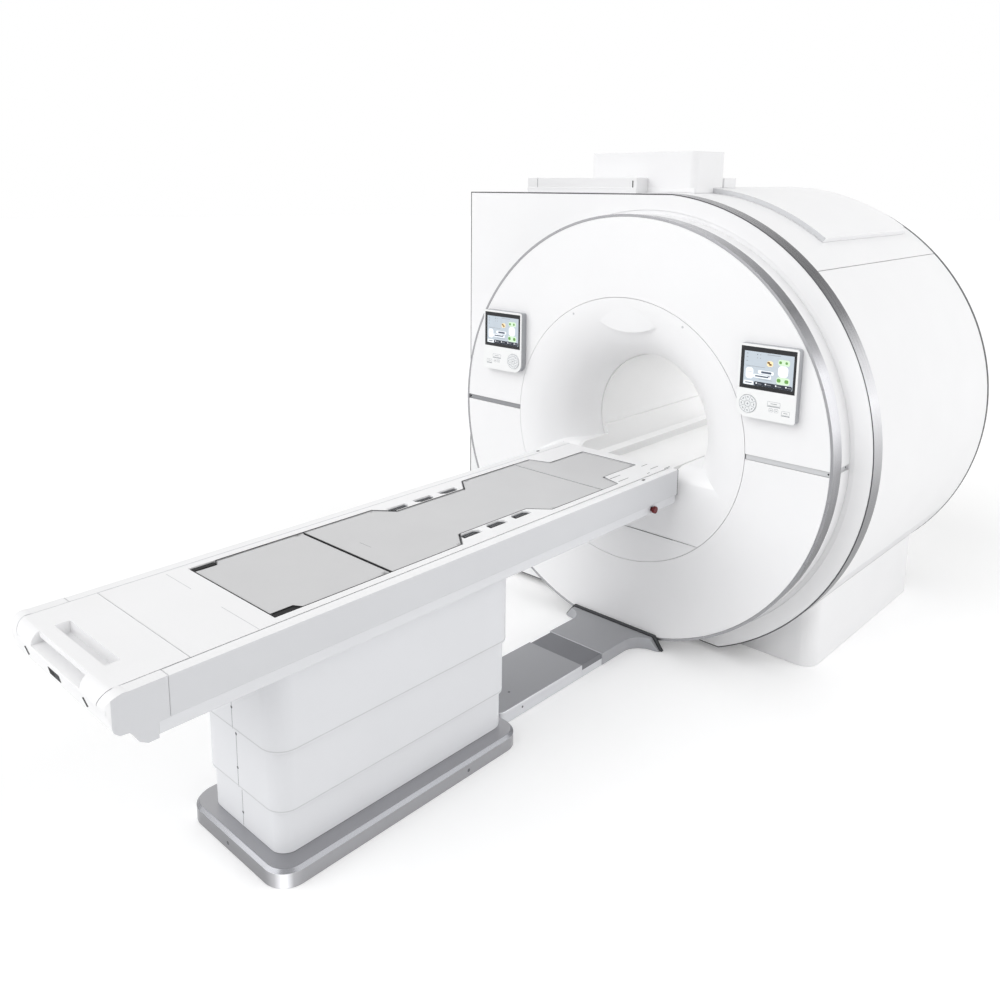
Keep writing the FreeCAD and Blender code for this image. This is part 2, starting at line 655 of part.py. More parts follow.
# ---------------------------------------------------------------------------
# Bore, magnet and coils
# ---------------------------------------------------------------------------
def bore_liner():
    profile = band("flare_radius + seat", "liner_back", "liner_radius",
                   "liner_radius + liner_wall")
    node(turned("bore_liner", profile), "bore_liner", z="axis_height")


def bridge_section(top):
    """Trough that fits the bore's lower half, with a floor and two running tracks."""
    outer = "(liner_radius - seat)"
    inner = f"({outer} - bridge_wall)"
    across = f"sqrt({inner} ^ 2 - (axis_height - bridge_floor) ^ 2)"
    under = "(bridge_floor - bridge_floor_wall)"
    below = f"sqrt({inner} ^ 2 - (axis_height - {under}) ^ 2)"
    wide = f"sqrt({outer} ^ 2 - (axis_height - {top}) ^ 2)"
    slim = f"sqrt({inner} ^ 2 - (axis_height - {top}) ^ 2)"
    floor, track = "bridge_floor", "track_top"
    shell = [
        (f"-{wide}", top), ("0", f"axis_height - {outer}", outer), (wide, top, outer),
        (slim, top), (across, floor, f"-{inner}"),
        ("track_outer", floor), ("track_outer", track), ("track_inner", track),
        ("track_inner", floor), ("-track_inner", floor), ("-track_inner", track),
        ("-track_outer", track), ("-track_outer", floor),
        (f"-{across}", floor), (f"-{slim}", top, f"-{inner}"),
    ]
    hollow = [(f"-{below}", under), ("0", f"axis_height - {inner}", inner),
              (below, under, inner)]
    return shell, hollow


def bore_bridge():
    body = new_body("bore_bridge")
    pad(body, "XZ_Plane", "liner_back - flare_radius - seat", *bridge_section("bridge_top"))
    place(body, "0", "flare_radius + seat", "0")
    nose = new_body("bridge_nose")
    pad(nose, "XZ_Plane", "flare_radius + seat - chin_set",
        *bridge_section("(ledge_height - bridge_inset)"))
    place(nose, "0", "chin_set", "0")
    clip = chin_block("nose_clip", "bridge_inset")
    place(clip, "0", "0", "axis_height")
    node(fuse("bore_bridge", body, common("clipped_nose", nose, clip)), "bore_bridge")


def hollow_ring(label, start, end, inner, outer, wall):
    """Closed ring-shaped vessel with one wall all round."""
    return turned(label, band(start, end, inner, outer),
                  band(f"{start} + {wall}", f"{end} - {wall}", f"{inner} + {wall}",
                       f"{outer} - {wall}"))


def magnet():
    """Vacuum vessel, and the helium vessel hung inside it on radial rods."""
    vessel = hollow_ring("vacuum_vessel", "vessel_front", "vessel_back", "vessel_bore",
                         "vessel_radius", "vessel_wall")
    node(vessel, "vacuum_vessel", z="axis_height")
    helium = hollow_ring("helium_ring", "vessel_front + helium_gap", "vessel_back - helium_gap",
                         "helium_bore", "helium_radius", "helium_wall")
    reach = "vessel_radius - vessel_wall - seat - helium_radius + 0.5 * helium_wall"
    rods = []
    for station in ("vessel_front + 3 * helium_gap", "vessel_back - 3 * helium_gap"):
        for quarter in (45, 135, 225, 315):
            item = rod(f"rod_{len(rods)}", "rod_radius", reach, "z", y=station)
            item.Placement.Rotation = FreeCAD.Rotation(V(0, 1, 0), quarter)
            start = "(helium_radius - 0.5 * helium_wall)"
            place(item, f"{start} * {math.sin(math.radians(quarter)):.6f}", station,
                  f"{start} * {math.cos(math.radians(quarter)):.6f}")
            rods.append(item)
    bare = turned("vessel_inside", band("vessel_front", "vessel_back", "vessel_bore",
                                        "vessel_radius - vessel_wall - seat"))
    node(common("helium_vessel", fuse("helium_and_rods", helium, *rods), bare),
         "helium_vessel", z="axis_height")


def coils():
    inner = "liner_radius + liner_wall + seat"
    outer = f"{inner} + coil_wall"
    node(turned("rf_body_coil", band("coil_front", "coil_back", inner, outer)),
         "rf_body_coil", z="axis_height")
    node(turned("gradient_coil", band("gradient_front", "gradient_back", f"{outer} + seat",
                                      "vessel_bore - seat")), "gradient_coil", z="axis_height")


def cold_head():
    """Cooler that stands on the vessel and reaches up into its cover."""
    foot = "(axis_height + 0.9 * vessel_radius)"
    top = f"({PLATE_TOP} + cold_head_rise)"
    stem = rod("cold_head_stem", "cold_head_radius", f"{top} - {foot}", "z",
               "cold_head_x", "cold_head_station", foot)
    cap = rod("cold_head_motor", "0.6 * cold_head_radius", "0.5 * cold_head_radius", "z",
              "cold_head_x", "cold_head_station", top)
    vessel = around_axis("cold_head_vessel_tool", "vessel_radius + seat", "0", "barrel_back")
    node(cut("cold_head", fuse("cold_head_solid", stem, cap), vessel), "cold_head")


# ---------------------------------------------------------------------------
# Control panels
# ---------------------------------------------------------------------------
PAD_X = "panel_inner + pad_x"
PAD_Z = "panel_bottom + pad_height"
GLASS_LEFT = "panel_inner + glass_margin"
GLASS_TOP = "panel_bottom + panel_height - glass_margin"


def panel_outline():
    """Panel front with one large corner towards the bore."""
    left, right = "panel_inner", "panel_inner + panel_width"
    low, high = "panel_bottom", "panel_bottom + panel_height"
    small, big = "panel_corner", "panel_big_corner"
    return [
        (f"{left} + {big}", low, big), (f"{right} - {small}", low),
        (right, f"{low} + {small}", small), (right, f"{high} - {small}"),
        (f"{right} - {small}", high, small), (f"{left} + {small}", high),
        (left, f"{high} - {small}", small), (left, f"{low} + {big}"),
    ]


def glass_outline(gap):
    return rectangle(f"{GLASS_LEFT} - {gap}", f"{GLASS_LEFT} + glass_width + {gap}",
                     f"{GLASS_TOP} - glass_height - {gap}", f"{GLASS_TOP} + {gap}")


def panel_housings():
    body = new_body("panel_housing")
    pad(body, "XZ_Plane", "panel_depth - fascia_wall - seat", panel_outline())
    pocket(body, "XZ_Plane", "pad_wall - pad_rise + pad_travel - fascia_wall + 1",
           (PAD_X, PAD_Z, "pad_radius + pad_gap"))
    place(body, "0", "fascia_wall - panel_depth", "0")
    node(mirrored_pair("panel_housings", body), "panel_housings")


def panel_fascias():
    body = new_body("panel_fascia")
    pad(body, "XZ_Plane", "fascia_wall - seat", panel_outline(), glass_outline("seat"),
        (PAD_X, PAD_Z, "pad_radius + pad_gap"))
    place(body, "0", "-panel_depth", "0")
    node(mirrored_pair("panel_fascias", body), "panel_fascias")


def panel_screens():
    body = new_body("panel_screen")
    pad(body, "XZ_Plane", "glass_wall", glass_outline("0"))
    place(body, "0", "fascia_wall - seat - panel_depth - glass_wall", "0")
    node(mirrored_pair("panel_screens", body), "panel_screens")


def panel_keys(side, name):
    """Round ring pad and the key in its middle."""
    ring = new_body(f"{name}_ring_pad")
    pad(ring, "XZ_Plane", "pad_wall", ("0", "0", "pad_radius"),
        ("0", "0", "key_radius + pad_gap"))
    key = new_body(f"{name}_centre_key")
    pad(key, "XZ_Plane", "pad_wall", ("0", "0", "key_radius"))
    for item, label in ((ring, f"{name}_ring_pad"), (key, f"{name}_centre_key")):
        node(item, label, f"{side} * ({PAD_X})", f"-panel_depth - pad_rise {FRONT}", PAD_Z)


# ---------------------------------------------------------------------------
# Base and floor bridge
# ---------------------------------------------------------------------------
def base_plate():
    body = new_body("base_plate")
    base = pad(body, "XY_Plane", "base_height",
               rounded("-base_half", "base_half", "-base_foot", "-base_head", "base_corner_radius"))
    item = body.newObject("PartDesign::Chamfer", "base_edge")
    top = size("base_height")
    names = [f"Edge{i + 1}" for i, edge in enumerate(base.Shape.Edges)
             if abs(edge.BoundBox.ZMin - top) < 0.01]
    item.Base = (base, names)
    item.setExpression("Size", bound("base_chamfer"))
    node(body, "base_plate")


def bridge_plan(inset):
    """Plan of the floor bridge from the base to the strip, its corners rounded at the base."""
    half, corner = f"(bridge_half - {inset})", f"(bridge_corner - {inset})"
    foot, head = f"(seat - base_head + {inset})", f"-(strip_foot + seat + {inset})"
    return [
        (f"{corner} - {half}", foot, corner), (f"{half} - {corner}", foot),
        (half, f"{foot} + {corner}", corner), (half, head), (f"-{half}", head),
        (f"-{half}", f"{foot} + {corner}"),
    ]


def floor_bridge():
    """Low floor cover over the cables, open towards the floor."""
    outer, inner = new_body("floor_bridge_outer"), new_body("floor_bridge_inner")
    pad(outer, "XY_Plane", "floor_bridge_height", bridge_plan("0"))
    pad(inner, "XY_Plane", "floor_bridge_height - floor_bridge_wall",
        bridge_plan("floor_bridge_wall"))
    node(cut("floor_bridge", outer, inner), "floor_bridge")


def strip_side(sign, inset):
    """Side of the strip from the floor up: upright to the ledge, then sloping in."""
    low, high = "strip_ledge", "floor_bridge_height - strip_drop"
    return [(f"{sign} * (bridge_half - {inset})", "0"),
            (f"{sign} * (bridge_half - {inset})", f"{low} - {inset}"),
            (f"{sign} * (bridge_half - strip_inset - {inset})", f"{high} - {inset}")]


def bridge_mid_strip():
    body = new_body("bridge_mid_strip")
    wall = "floor_bridge_wall"
    pad(body, "XZ_Plane", "strip_foot - strip_head - seat", [
        *strip_side(-1, wall), *strip_side(1, wall)[::-1],
        *strip_side(1, "0"), *strip_side(-1, "0")[::-1],
    ])
    node(body, "bridge_mid_strip", y=f"-strip_foot {FRONT}")


def dock_side(sign):
    """One side of the dock's plan from the strip to the seal: straight, then bending outward."""
    return [
        (f"{sign} * dock_half", "seat - strip_head"), (f"{sign} * dock_half", "-dock_bend_station"),
        (f"{sign} * (dock_half + dock_bend)", "dock_bend - dock_bend_station"),
        (f"{sign} * dock_flare", "-seal_depth - dock_lip"), (f"{sign} * dock_flare", "-seal_depth"),
    ]


def dock_end():
    """Head end of the floor bridge, flared where it meets the disc and sloping at its ends."""
    right, left = dock_side(1), dock_side(-1)[::-1]
    right[2] += ("-dock_bend",)
    left[3] += ("-dock_bend",)
    plan = new_body("dock_plan")
    pad(plan, "XY_Plane", "floor_bridge_height", right + left)
    front = new_body("dock_front")
    pad(front, "XZ_Plane", "strip_head", dock_face("0"))
    place(front, "0", "-strip_head", "0")
    node(common("dock_end", plan, front), "dock_end")


def dock_face(grow):
    """Front view of the dock, narrower at the top."""
    top = f"floor_bridge_height + {grow}"
    return [(f"-dock_flare - {grow}", "0"), (f"dock_flare + {grow}", "0"),
            (f"dock_shoulder + {grow}", top), (f"-dock_shoulder - {grow}", top)]


def dock_seal():
    body = new_body("dock_seal")
    pad(body, "XZ_Plane", "seal_depth - seat - dock_gap", dock_face("seal_step"))
    node(body, "dock_seal", y=f"seat - seal_depth {FRONT}")


# ---------------------------------------------------------------------------
# Telescopic column
# ---------------------------------------------------------------------------
def column_cover(label, step, bottom, top):
    """One cover of the telescope; each step is one wall and one gap wider."""
    grow = f"{step} * (column_wall + column_gap)"
    half, foot, head = (f"(column_half + {grow})", f"-(column_foot + {grow})",
                        f"-(column_head - {grow})")
    corner = f"(column_corner + {grow})"
    body = new_body(label)
    pad(body, "XY_Plane", f"({top}) - ({bottom})",
        rounded(f"-{half}", half, foot, head, corner),
        rounded(f"-({half} - column_wall)", f"({half} - column_wall)", f"{foot} + column_wall",
                f"{head} - column_wall", f"({corner} - column_wall)"))
    node(body, label, z=bottom)


STAGE_CENTRE = "(-0.5 * (column_foot + column_head))"


def stage_outline(step, wall="0"):
    """Rectangular lift stage, each one wall and one running gap inside the last."""
    shrink = f"({step} * (stage_wall + stage_gap) + {wall})"
    return rectangle(f"{shrink} - stage_half", f"stage_half - {shrink}",
                     f"{STAGE_CENTRE} - stage_long_half + {shrink}",
                     f"{STAGE_CENTRE} + stage_long_half - {shrink}")


def lift_stage(label, step, bottom, top):
    body = new_body(label)
    pad(body, "XY_Plane", f"({top}) - ({bottom})", stage_outline(step),
        stage_outline(step, "stage_wall"))
    place(body, "0", "0", bottom)
    return body


def lift_stages():
    node(lift_stage("lift_outer_stage", 0, "base_height + seat", "outer_stage_top"),
         "lift_outer_stage", z="base_height + seat")
    tube = lift_stage("middle_tube", 1, "middle_stage_bottom", "middle_cover_top + flange_wall")
    grow = "(column_gap - seat)"
    foot, head = f"-(column_foot + {grow})", f"-(column_head - {grow})"
    half = f"(column_half + {grow})"
    flange = new_body("flange")
    pad(flange, "XY_Plane", "flange_wall",
        rounded(f"-{half}", half, foot, head, f"(column_corner + {grow})"),
        stage_outline(1, "stage_wall"))
    place(flange, "0", "0", "middle_cover_top + seat")
    node(fuse("lift_middle_stage", tube, flange), "lift_middle_stage")
    node(lift_stage("lift_inner_stage", 2, "inner_stage_bottom", "frame_bottom - seat"),
         "lift_inner_stage", z="inner_stage_bottom")


# ---------------------------------------------------------------------------
# Table frame, rails and fixed end cap
# ---------------------------------------------------------------------------
def table_frame():
    """Long deck under the rails, with the fork that holds the idler pulley."""
    low, high, edge = "frame_bottom", "rail_bottom - seat", "frame_edge"
    body = new_body("frame_deck")
    pad(body, "XZ_Plane", f"{FRAME_SEAM} - table_head", [
        (f"{edge} - frame_half", low, edge), (f"frame_half - {edge}", low),
        ("frame_half", f"{low} + {edge}", edge), ("frame_half", high), ("-frame_half", high),
        ("-frame_half", f"{low} + {edge}"),
    ])
    place(body, "0", f"-{FRAME_SEAM}", "0")
    start = "0.5 * pulley_width + stage_gap"
    ears = []
    for side, span in (("right", (start, f"{start} + ear_wall")),
                       ("left", (f"-({start}) - ear_wall", f"-({start})"))):
        ears.append(block(f"{side}_ear", span,
                          ("-idler_station - shaft_radius - ear_wall",
                           "-idler_station + shaft_radius + ear_wall"),
                          ("rail_bottom - ear_wall", "drive_height + shaft_radius + ear_wall")))
    axle = rod("idler_axle", "shaft_radius", f"2 * ({start}) + ear_wall", "x",
               f"-({start}) - 0.5 * ear_wall", "-idler_station", "drive_height")
    hole = rod("knob_hole", "knob_neck + pad_gap", "2 * knob_sink", "x",
               "frame_half - knob_sink - knob_travel - 1", "-knob_station", "knob_height")
    node(cut("table_frame", fuse("frame_solid", body, *ears, axle), hole), "table_frame")


def side_rails():
    """Fixed rails either side of the cradle, each with a ledge that it runs on."""
    ledge = "track_ledge - seat"
    side, under = "cradle_half + cradle_gap", "cradle_under_half + cradle_gap"
    body = new_body("side_rail")
    pad(body, "XZ_Plane", f"{RAIL_SEAM} - table_head", [
        ("ledge_inner", "rail_bottom"), ("table_half", "rail_bottom"),
        ("table_half", "table_top - rail_edge"),
        ("table_half - rail_edge", "table_top", "rail_edge"), (side, "table_top"),
        (under, ledge), ("ledge_inner", ledge),
    ])
    place(body, "0", f"-{RAIL_SEAM}", "0")
    node(mirrored_pair("side_rails", body), "side_rails")


def nose_curve():
    """Top and front of the table's foot end, seen from the side, from the head end forward."""
    return [("-nose_front", NOSE_DROP), (f"-{NOSE_SHOULDER}", "table_top", "-nose_radius")]


def table_end_cap():
    """Fixed nose of the table below and beside the cradle's end."""
    profile = [
        (f"-{RAIL_SEAM} - seat", "table_top"), (f"-{RAIL_SEAM} - seat", "rail_bottom"),
        (f"-{FRAME_SEAM} - seat", "rail_bottom"), (f"-{FRAME_SEAM} - seat", "frame_bottom"),
        ("apron_back - nose_front", "frame_bottom"),
        ("apron_knee - nose_front", "frame_bottom + apron_knee_rise"),
        ("lip_back - nose_front", "rail_bottom"),
        ("lip_back - lip_step - nose_front", "rail_bottom + lip_step"),
        ("lip_knee - nose_front", "rail_bottom + lip_knee_rise"),
        ("lip_front - nose_front", "rail_bottom + lip_front_rise"), *nose_curve(),
    ]
    side = new_body("end_cap_side")
    pad(side, "YZ_Plane", "2 * table_half", profile, midplane=True)
    plan = new_body("end_cap_plan")
    pad(plan, "XY_Plane", "2 * table_top", [
        ("-table_half", f"-{RAIL_SEAM} + 1"), ("-table_half", "nose_corner - nose_front"),
        ("nose_corner - table_half", "-nose_front", "nose_corner"),
        ("table_half - nose_corner", "-nose_front"),
        ("table_half", "nose_corner - nose_front", "nose_corner"),
        ("table_half", f"-{RAIL_SEAM} + 1"),
    ])
    channel = new_body("end_cap_channel")
    pad(channel, "XZ_Plane", f"2 * nose_corner + nose_front - {RAIL_SEAM}",
        cradle_section("cradle_gap", "seat", "cradle_gap"))
    place(channel, "0", "-nose_front - nose_corner", "0")
    solid = common("end_cap_solid", side, plan)
    node(cut("table_end_cap", solid, channel), "table_end_cap")


# ---------------------------------------------------------------------------
# Cradle
# ---------------------------------------------------------------------------
def cradle_section(gap="0", under="0", above="0"):
    """Cross-section of the cradle, wider at the top; a gap makes the channel that it runs in."""
    low = f"track_ledge - {under}"
    wide, slim = f"(cradle_half + {gap})", f"(cradle_under_half + {gap})"
    outline = [(f"-{slim}", low), (slim, low), (wide, "table_top")]
    if above != "0":
        outline += [(wide, f"table_top + {above}"), (f"-{wide}", f"table_top + {above}")]
    return outline + [(f"-{wide}", "table_top")]


def mat_side(sign, gap):
    """Stations and half-widths of the mats' edge from the foot to the head, on one side."""
    edge = [
        (f"mat_half + {gap}", f"-mat_foot - {gap}"),
        (f"mat_half + {gap}", f"-mat_waist_foot + {gap}"),
        (f"mat_waist + {gap}", f"-mat_waist_foot + mat_slant + {gap}"),
        (f"mat_waist + {gap}", f"-mat_waist_head - mat_slant - {gap}"),
        (f"mat_half + {gap}", f"-mat_waist_head - {gap}"),
        (f"mat_half + {gap}", f"-mat_neck_foot + {gap}"),
        (f"mat_neck + {gap}", f"-mat_neck_head + {gap}"),
        (f"mat_neck + {gap}", f"-mat_end + {gap}"),
    ]
    return [(f"{sign} * ({x})", y) for x, y in edge]


def port_stations():
    return [f"(-port_centre + {step} * port_pitch)" for step in (-1, 0, 1)]


def port_outlines(gap):
    """Six coil ports, three each side of the body mat, their corners cut on the mat's side."""
    outlines = []
    for side in (-1, 1):
        inner = f"{side} * (port_x - port_half - {gap})"
        outer = f"{side} * (port_x + port_half + {gap})"
        slant = f"{side} * (port_x - port_half - {gap} + port_chamfer)"
        for station in port_stations():
            foot = f"{station} - 0.5 * port_length - {gap}"
            head = f"{station} + 0.5 * port_length + {gap}"
            outlines.append([
                (slant, foot), (outer, foot), (outer, head), (slant, head),
                (inner, f"{head} - port_chamfer"), (inner, f"{foot} + port_chamfer"),
            ])
    return outlines


def cradle_board():
    """Sliding board with a tray for the mats, the coil ports and the belt clamp beneath."""
    body = new_body("cradle_board")
    pad(body, "XZ_Plane", f"{CRADLE_SEAM} - seat - cradle_head", cradle_section())
    place(body, "0", f"seat - {CRADLE_SEAM}", "0")
    right = mat_side(1, "mat_gap")
    tray = new_body("mat_tray")
    pad(tray, "XY_Plane", "2 * mat_recess", right + mat_side(-1, "mat_gap")[::-1])
    place(tray, "0", "0", "table_top - mat_recess")
    ports = new_body("port_tool")
    pad(ports, "XY_Plane", "2 * port_recess", *port_outlines("seat"))
    place(ports, "0", "0", "table_top - port_recess")
    clamp = block("belt_clamp", ("-clamp_half", "clamp_half"),
                  ("clamp_inset - nose_front", "clamp_inset + clamp_length - nose_front"),
                  ("drive_height + pulley_radius + seat + belt_wall + seat",
                   "track_ledge + 0.5 * mat_recess"))
    node(cut("cradle_board", fuse("board_and_clamp", body, clamp), tray, ports), "cradle_board")


def cradle_end_cap():
    """Foot end of the cradle, with the grab handle bridging two recesses."""
    body = new_body("cradle_end")
    pad(body, "XZ_Plane", f"nose_front - {CRADLE_SEAM} - seat", cradle_section())
    place(body, "0", "-nose_front", "0")
    side = new_body("cradle_end_side")
    pad(side, "YZ_Plane", "2 * table_half", [
        (f"-{CRADLE_SEAM}", "track_ledge"), (f"-{CRADLE_SEAM}", "table_top"),
        (f"-{NOSE_SHOULDER}", "table_top"), ("-nose_front", NOSE_DROP, "nose_radius"),
        ("-nose_front", "track_ledge"),
    ], midplane=True)
    wide = ("-grip_half", "grip_half")
    past = "-nose_front - nose_radius"
    bar_head = "grip_lip + grip_bar - nose_front"
    well_head = f"{bar_head} + grip_well"
    past_top = "table_top + grip_lip"
    well = block("grip_well_tool", wide, (bar_head, well_head), ("grip_bottom", past_top))
    tunnel = block("grip_tunnel", wide, (past, well_head), ("grip_bottom", "grip_under"))
    mouth = block("grip_mouth", wide, (past, "grip_lip - nose_front"), ("grip_bottom", past_top))
    solid = common("cradle_end_solid", body, side)
    node(cut("cradle_end_cap", solid, well, tunnel, mouth), "cradle_end_cap")


def mat(label, half_outline):
    """One mat with a softened top edge; half_outline gives its edge on one side, foot end first."""
    body = new_body(label)
    feature = pad(body, "XY_Plane", "mat_wall", half_outline(1) + half_outline(-1)[::-1])
    top = size("mat_wall")
    round_edges(body, feature, "mat_edge", lambda edge: abs(edge.BoundBox.ZMin - top) < 0.01)
    node(body, label, z="table_top - mat_recess + seat")


def mats():
    joint = "0.5 * mat_gap"

    def foot_edge(side):
        inner = f"{side} * (mat_half - strap_notch)"
        notch = "strap_notch_length - mat_foot"
        return [(inner, "-mat_foot"), (inner, notch),
                (f"{side} * mat_half", f"{notch} + strap_notch_slant"),
                (f"{side} * mat_half", f"-mat_middle - {joint}")]

    def body_edge(side):
        return [(f"{side} * mat_half", f"-mat_middle + {joint}"), *mat_side(side, "0")[1:5],
                (f"{side} * mat_half", f"-mat_head - {joint}")]

    def head_edge(side):
        return [(f"{side} * mat_half", f"-mat_head + {joint}"), *mat_side(side, "0")[5:]]

    mat("foot_mat", foot_edge)
    mat("body_mat", body_edge)
    mat("head_mat", head_edge)


def coil_sockets():
    """Dark socket inserts, sunk below the cradle's surface."""
    sockets = []
    for index, outline in enumerate(port_outlines("0")):
        body = new_body(f"socket_{index}")
        pad(body, "XY_Plane", "port_recess - port_floor - seat", outline)
        sockets.append(body)
    item = doc.addObject("Part::Compound", "coil_sockets")
    item.Links = sockets
    node(item, "coil_sockets", z="table_top - port_recess + seat")


# ---------------------------------------------------------------------------
# Cradle drive
# ---------------------------------------------------------------------------
def drive_pulley(label, station):
    body = new_body(label)
    pad(body, "YZ_Plane", "pulley_width", ("0", "0", "pulley_radius"),
        ("0", "0", "shaft_radius + shaft_play"), midplane=True)
    node(body, label, y=f"-{station} {FRONT}", z="drive_height")


def belt_outline(radius):
    foot, head = f"-{DRIVE_STATION}", "-idler_station"
    return [
        (foot, f"-({radius})", radius), (head, f"-({radius})"), (f"{head} + {radius}", "0", radius),
        (head, radius, radius), (foot, radius), (f"{foot} - {radius}", "0", radius),
    ]


def drive_belt():
    inner = "(pulley_radius + seat)"
    body = new_body("drive_belt")
    pad(body, "YZ_Plane", "belt_width", belt_outline(f"({inner} + belt_wall)"),
        belt_outline(inner), midplane=True)
    node(body, "drive_belt", z="drive_height")


def drive_motor():
    can = rod("motor_can", "motor_radius", "motor_length", "x", "motor_start", f"-{DRIVE_STATION}",
              "drive_height")
    shaft = rod("motor_shaft", "shaft_radius", "motor_start + 0.5 * pulley_width + 2", "x",
                "-0.5 * pulley_width - 1", f"-{DRIVE_STATION}", "drive_height")
    foot = block("motor_foot", ("motor_start + motor_foot_inset",
                                "motor_start + motor_length - motor_foot_inset"),
                 (f"-{DRIVE_STATION} - motor_radius", f"-{DRIVE_STATION} + motor_radius"),
                 ("rail_bottom", "drive_height - 0.5 * motor_radius"))
    node(fuse("drive_motor", can, shaft, foot), "drive_motor")


def emergency_knob():
    """Mushroom knob whose neck slides in the frame's side."""
    head = rod("knob_head", "knob_radius", "knob_wall", "x", "frame_half + knob_stand",
               "-knob_station", "knob_height")
    neck = rod("knob_stem", "knob_neck", "knob_sink + knob_stand + 1", "x",
               "frame_half - knob_sink", "-knob_station", "knob_height")
    node(fuse("emergency_knob", head, neck), "emergency_knob")


def build():
    disc_cover("disc_upper_cover", "-2 * disc_radius", "slot_top - axis_height")
    disc_cover("disc_lower_cover", "slot_bottom - axis_height", "2 * disc_radius")
    disc_trim_ring()
    slot_strips()
    bore_funnel()
    funnel_lower_panel()
    front_plate()
    front_plate_trim()
    barrel_covers()
    top_cap()
    rear_pieces()
    rear_funnel()
    left_housing()
    service_tray()
    cold_head_cover()
    pedestal_cover()
    magnet_feet()
    bore_liner()
    bore_bridge()
    magnet()
    coils()
    cold_head()
    panel_housings()
    panel_fascias()
    panel_screens()
    panel_keys("1", "right")
    panel_keys("-1", "left")
    base_plate()
    floor_bridge()
    bridge_mid_strip()
    dock_end()
    dock_seal()
    column_cover("column_lower_cover", "0", "base_height + seat", "lower_cover_top")
    column_cover("column_middle_cover", "1", "middle_cover_bottom", "middle_cover_top")
    column_cover("column_upper_cover", "2", "upper_cover_bottom", "frame_bottom - seat")
    lift_stages()
    table_frame()
    side_rails()
    table_end_cap()
    cradle_board()
    cradle_end_cap()
    mats()
    coil_sockets()
    drive_pulley("drive_pulley", DRIVE_STATION)
    drive_pulley("idler_pulley", "idler_station")
    drive_belt()
    drive_motor()
    emergency_knob()


def check_and_export():
    """Stop on any failed object or broken shape, then write one STEP file for each node."""
    doc.recompute()
    for item in doc.Objects:
        if "Invalid" in item.State or "Error" in item.State:
            raise RuntimeError(f"{item.Label} failed: {item.State}")
    for item in NODES:
        if item.Shape.isNull() or not item.Shape.isValid() or item.Shape.Volume <= 0:
            raise RuntimeError(f"{item.Label} has no valid shape")
    os.makedirs("parts", exist_ok=True)
    for item in NODES:
        item.Shape.exportStep(f"parts/{item.Label}.step")
        print(f"{item.Label}: {len(item.Shape.Solids)} solids, {item.Shape.Volume / 1e9:.4f} m3")
    print(len(NODES), "nodes")


build()
check_and_export()
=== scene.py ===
# %% [markdown]
# # A closed bore MRI scanner
# The solids come from the CAD model, whose bodies already move. This notebook gives them their
# looks: softened edges, mouldings, cushions, screens, small fasteners and procedural finishes.
# Everything is in metres. X is to the viewer's right, Y runs into the bore, Z is up.

# %% Load the CAD frame
import json
import math

import bmesh
import bpy
from mathutils import Matrix, Vector
from mathutils.bvhtree import BVHTree


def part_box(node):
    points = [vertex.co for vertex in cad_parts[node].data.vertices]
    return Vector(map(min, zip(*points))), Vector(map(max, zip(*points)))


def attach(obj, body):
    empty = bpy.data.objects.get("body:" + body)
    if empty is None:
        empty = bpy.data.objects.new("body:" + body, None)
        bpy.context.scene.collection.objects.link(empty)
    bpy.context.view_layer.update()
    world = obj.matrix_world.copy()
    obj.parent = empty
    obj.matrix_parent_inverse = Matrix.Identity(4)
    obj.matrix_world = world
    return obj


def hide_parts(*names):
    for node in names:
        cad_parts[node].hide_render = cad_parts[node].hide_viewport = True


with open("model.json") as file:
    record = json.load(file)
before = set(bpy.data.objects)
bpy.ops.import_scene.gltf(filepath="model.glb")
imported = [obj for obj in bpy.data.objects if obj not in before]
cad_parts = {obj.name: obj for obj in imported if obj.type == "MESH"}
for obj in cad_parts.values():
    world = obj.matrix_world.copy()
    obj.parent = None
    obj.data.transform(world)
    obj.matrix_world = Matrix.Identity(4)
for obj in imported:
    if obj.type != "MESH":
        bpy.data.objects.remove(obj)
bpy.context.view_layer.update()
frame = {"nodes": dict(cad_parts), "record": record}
NODES = frame["nodes"]
SLOT_OF = {part["node"]: part["material_slot"] for part in frame["record"]["subparts"]}
BODY_OF = {node: body for body, names in frame["record"]["behaviour"]["bodies"].items()
           for node in names}

# %% [markdown]
# Two planes place almost everything: the front of the disc, and the axis of the bore. Both are
# read from the CAD model, so that the pieces made here follow it.

# %% Reference planes
disc_low, disc_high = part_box("disc_trim_ring")
face_y = disc_low.y
axis_z = (disc_low.z + disc_high.z) / 2
disc_radius = (disc_high.z - disc_low.z) / 2
print("disc face at y =", round(face_y, 3), "axis height", round(axis_z, 3),
      "radius", round(disc_radius, 3))

# %% [markdown]
# ## Camera
# The photograph was taken from the front right, a little above the table. The camera's place, turn
# and lens were solved from the disc's ellipses and the table's straight edges. The frame was
# cropped off centre, so the camera is shifted and not turned, which keeps the upright lines true.

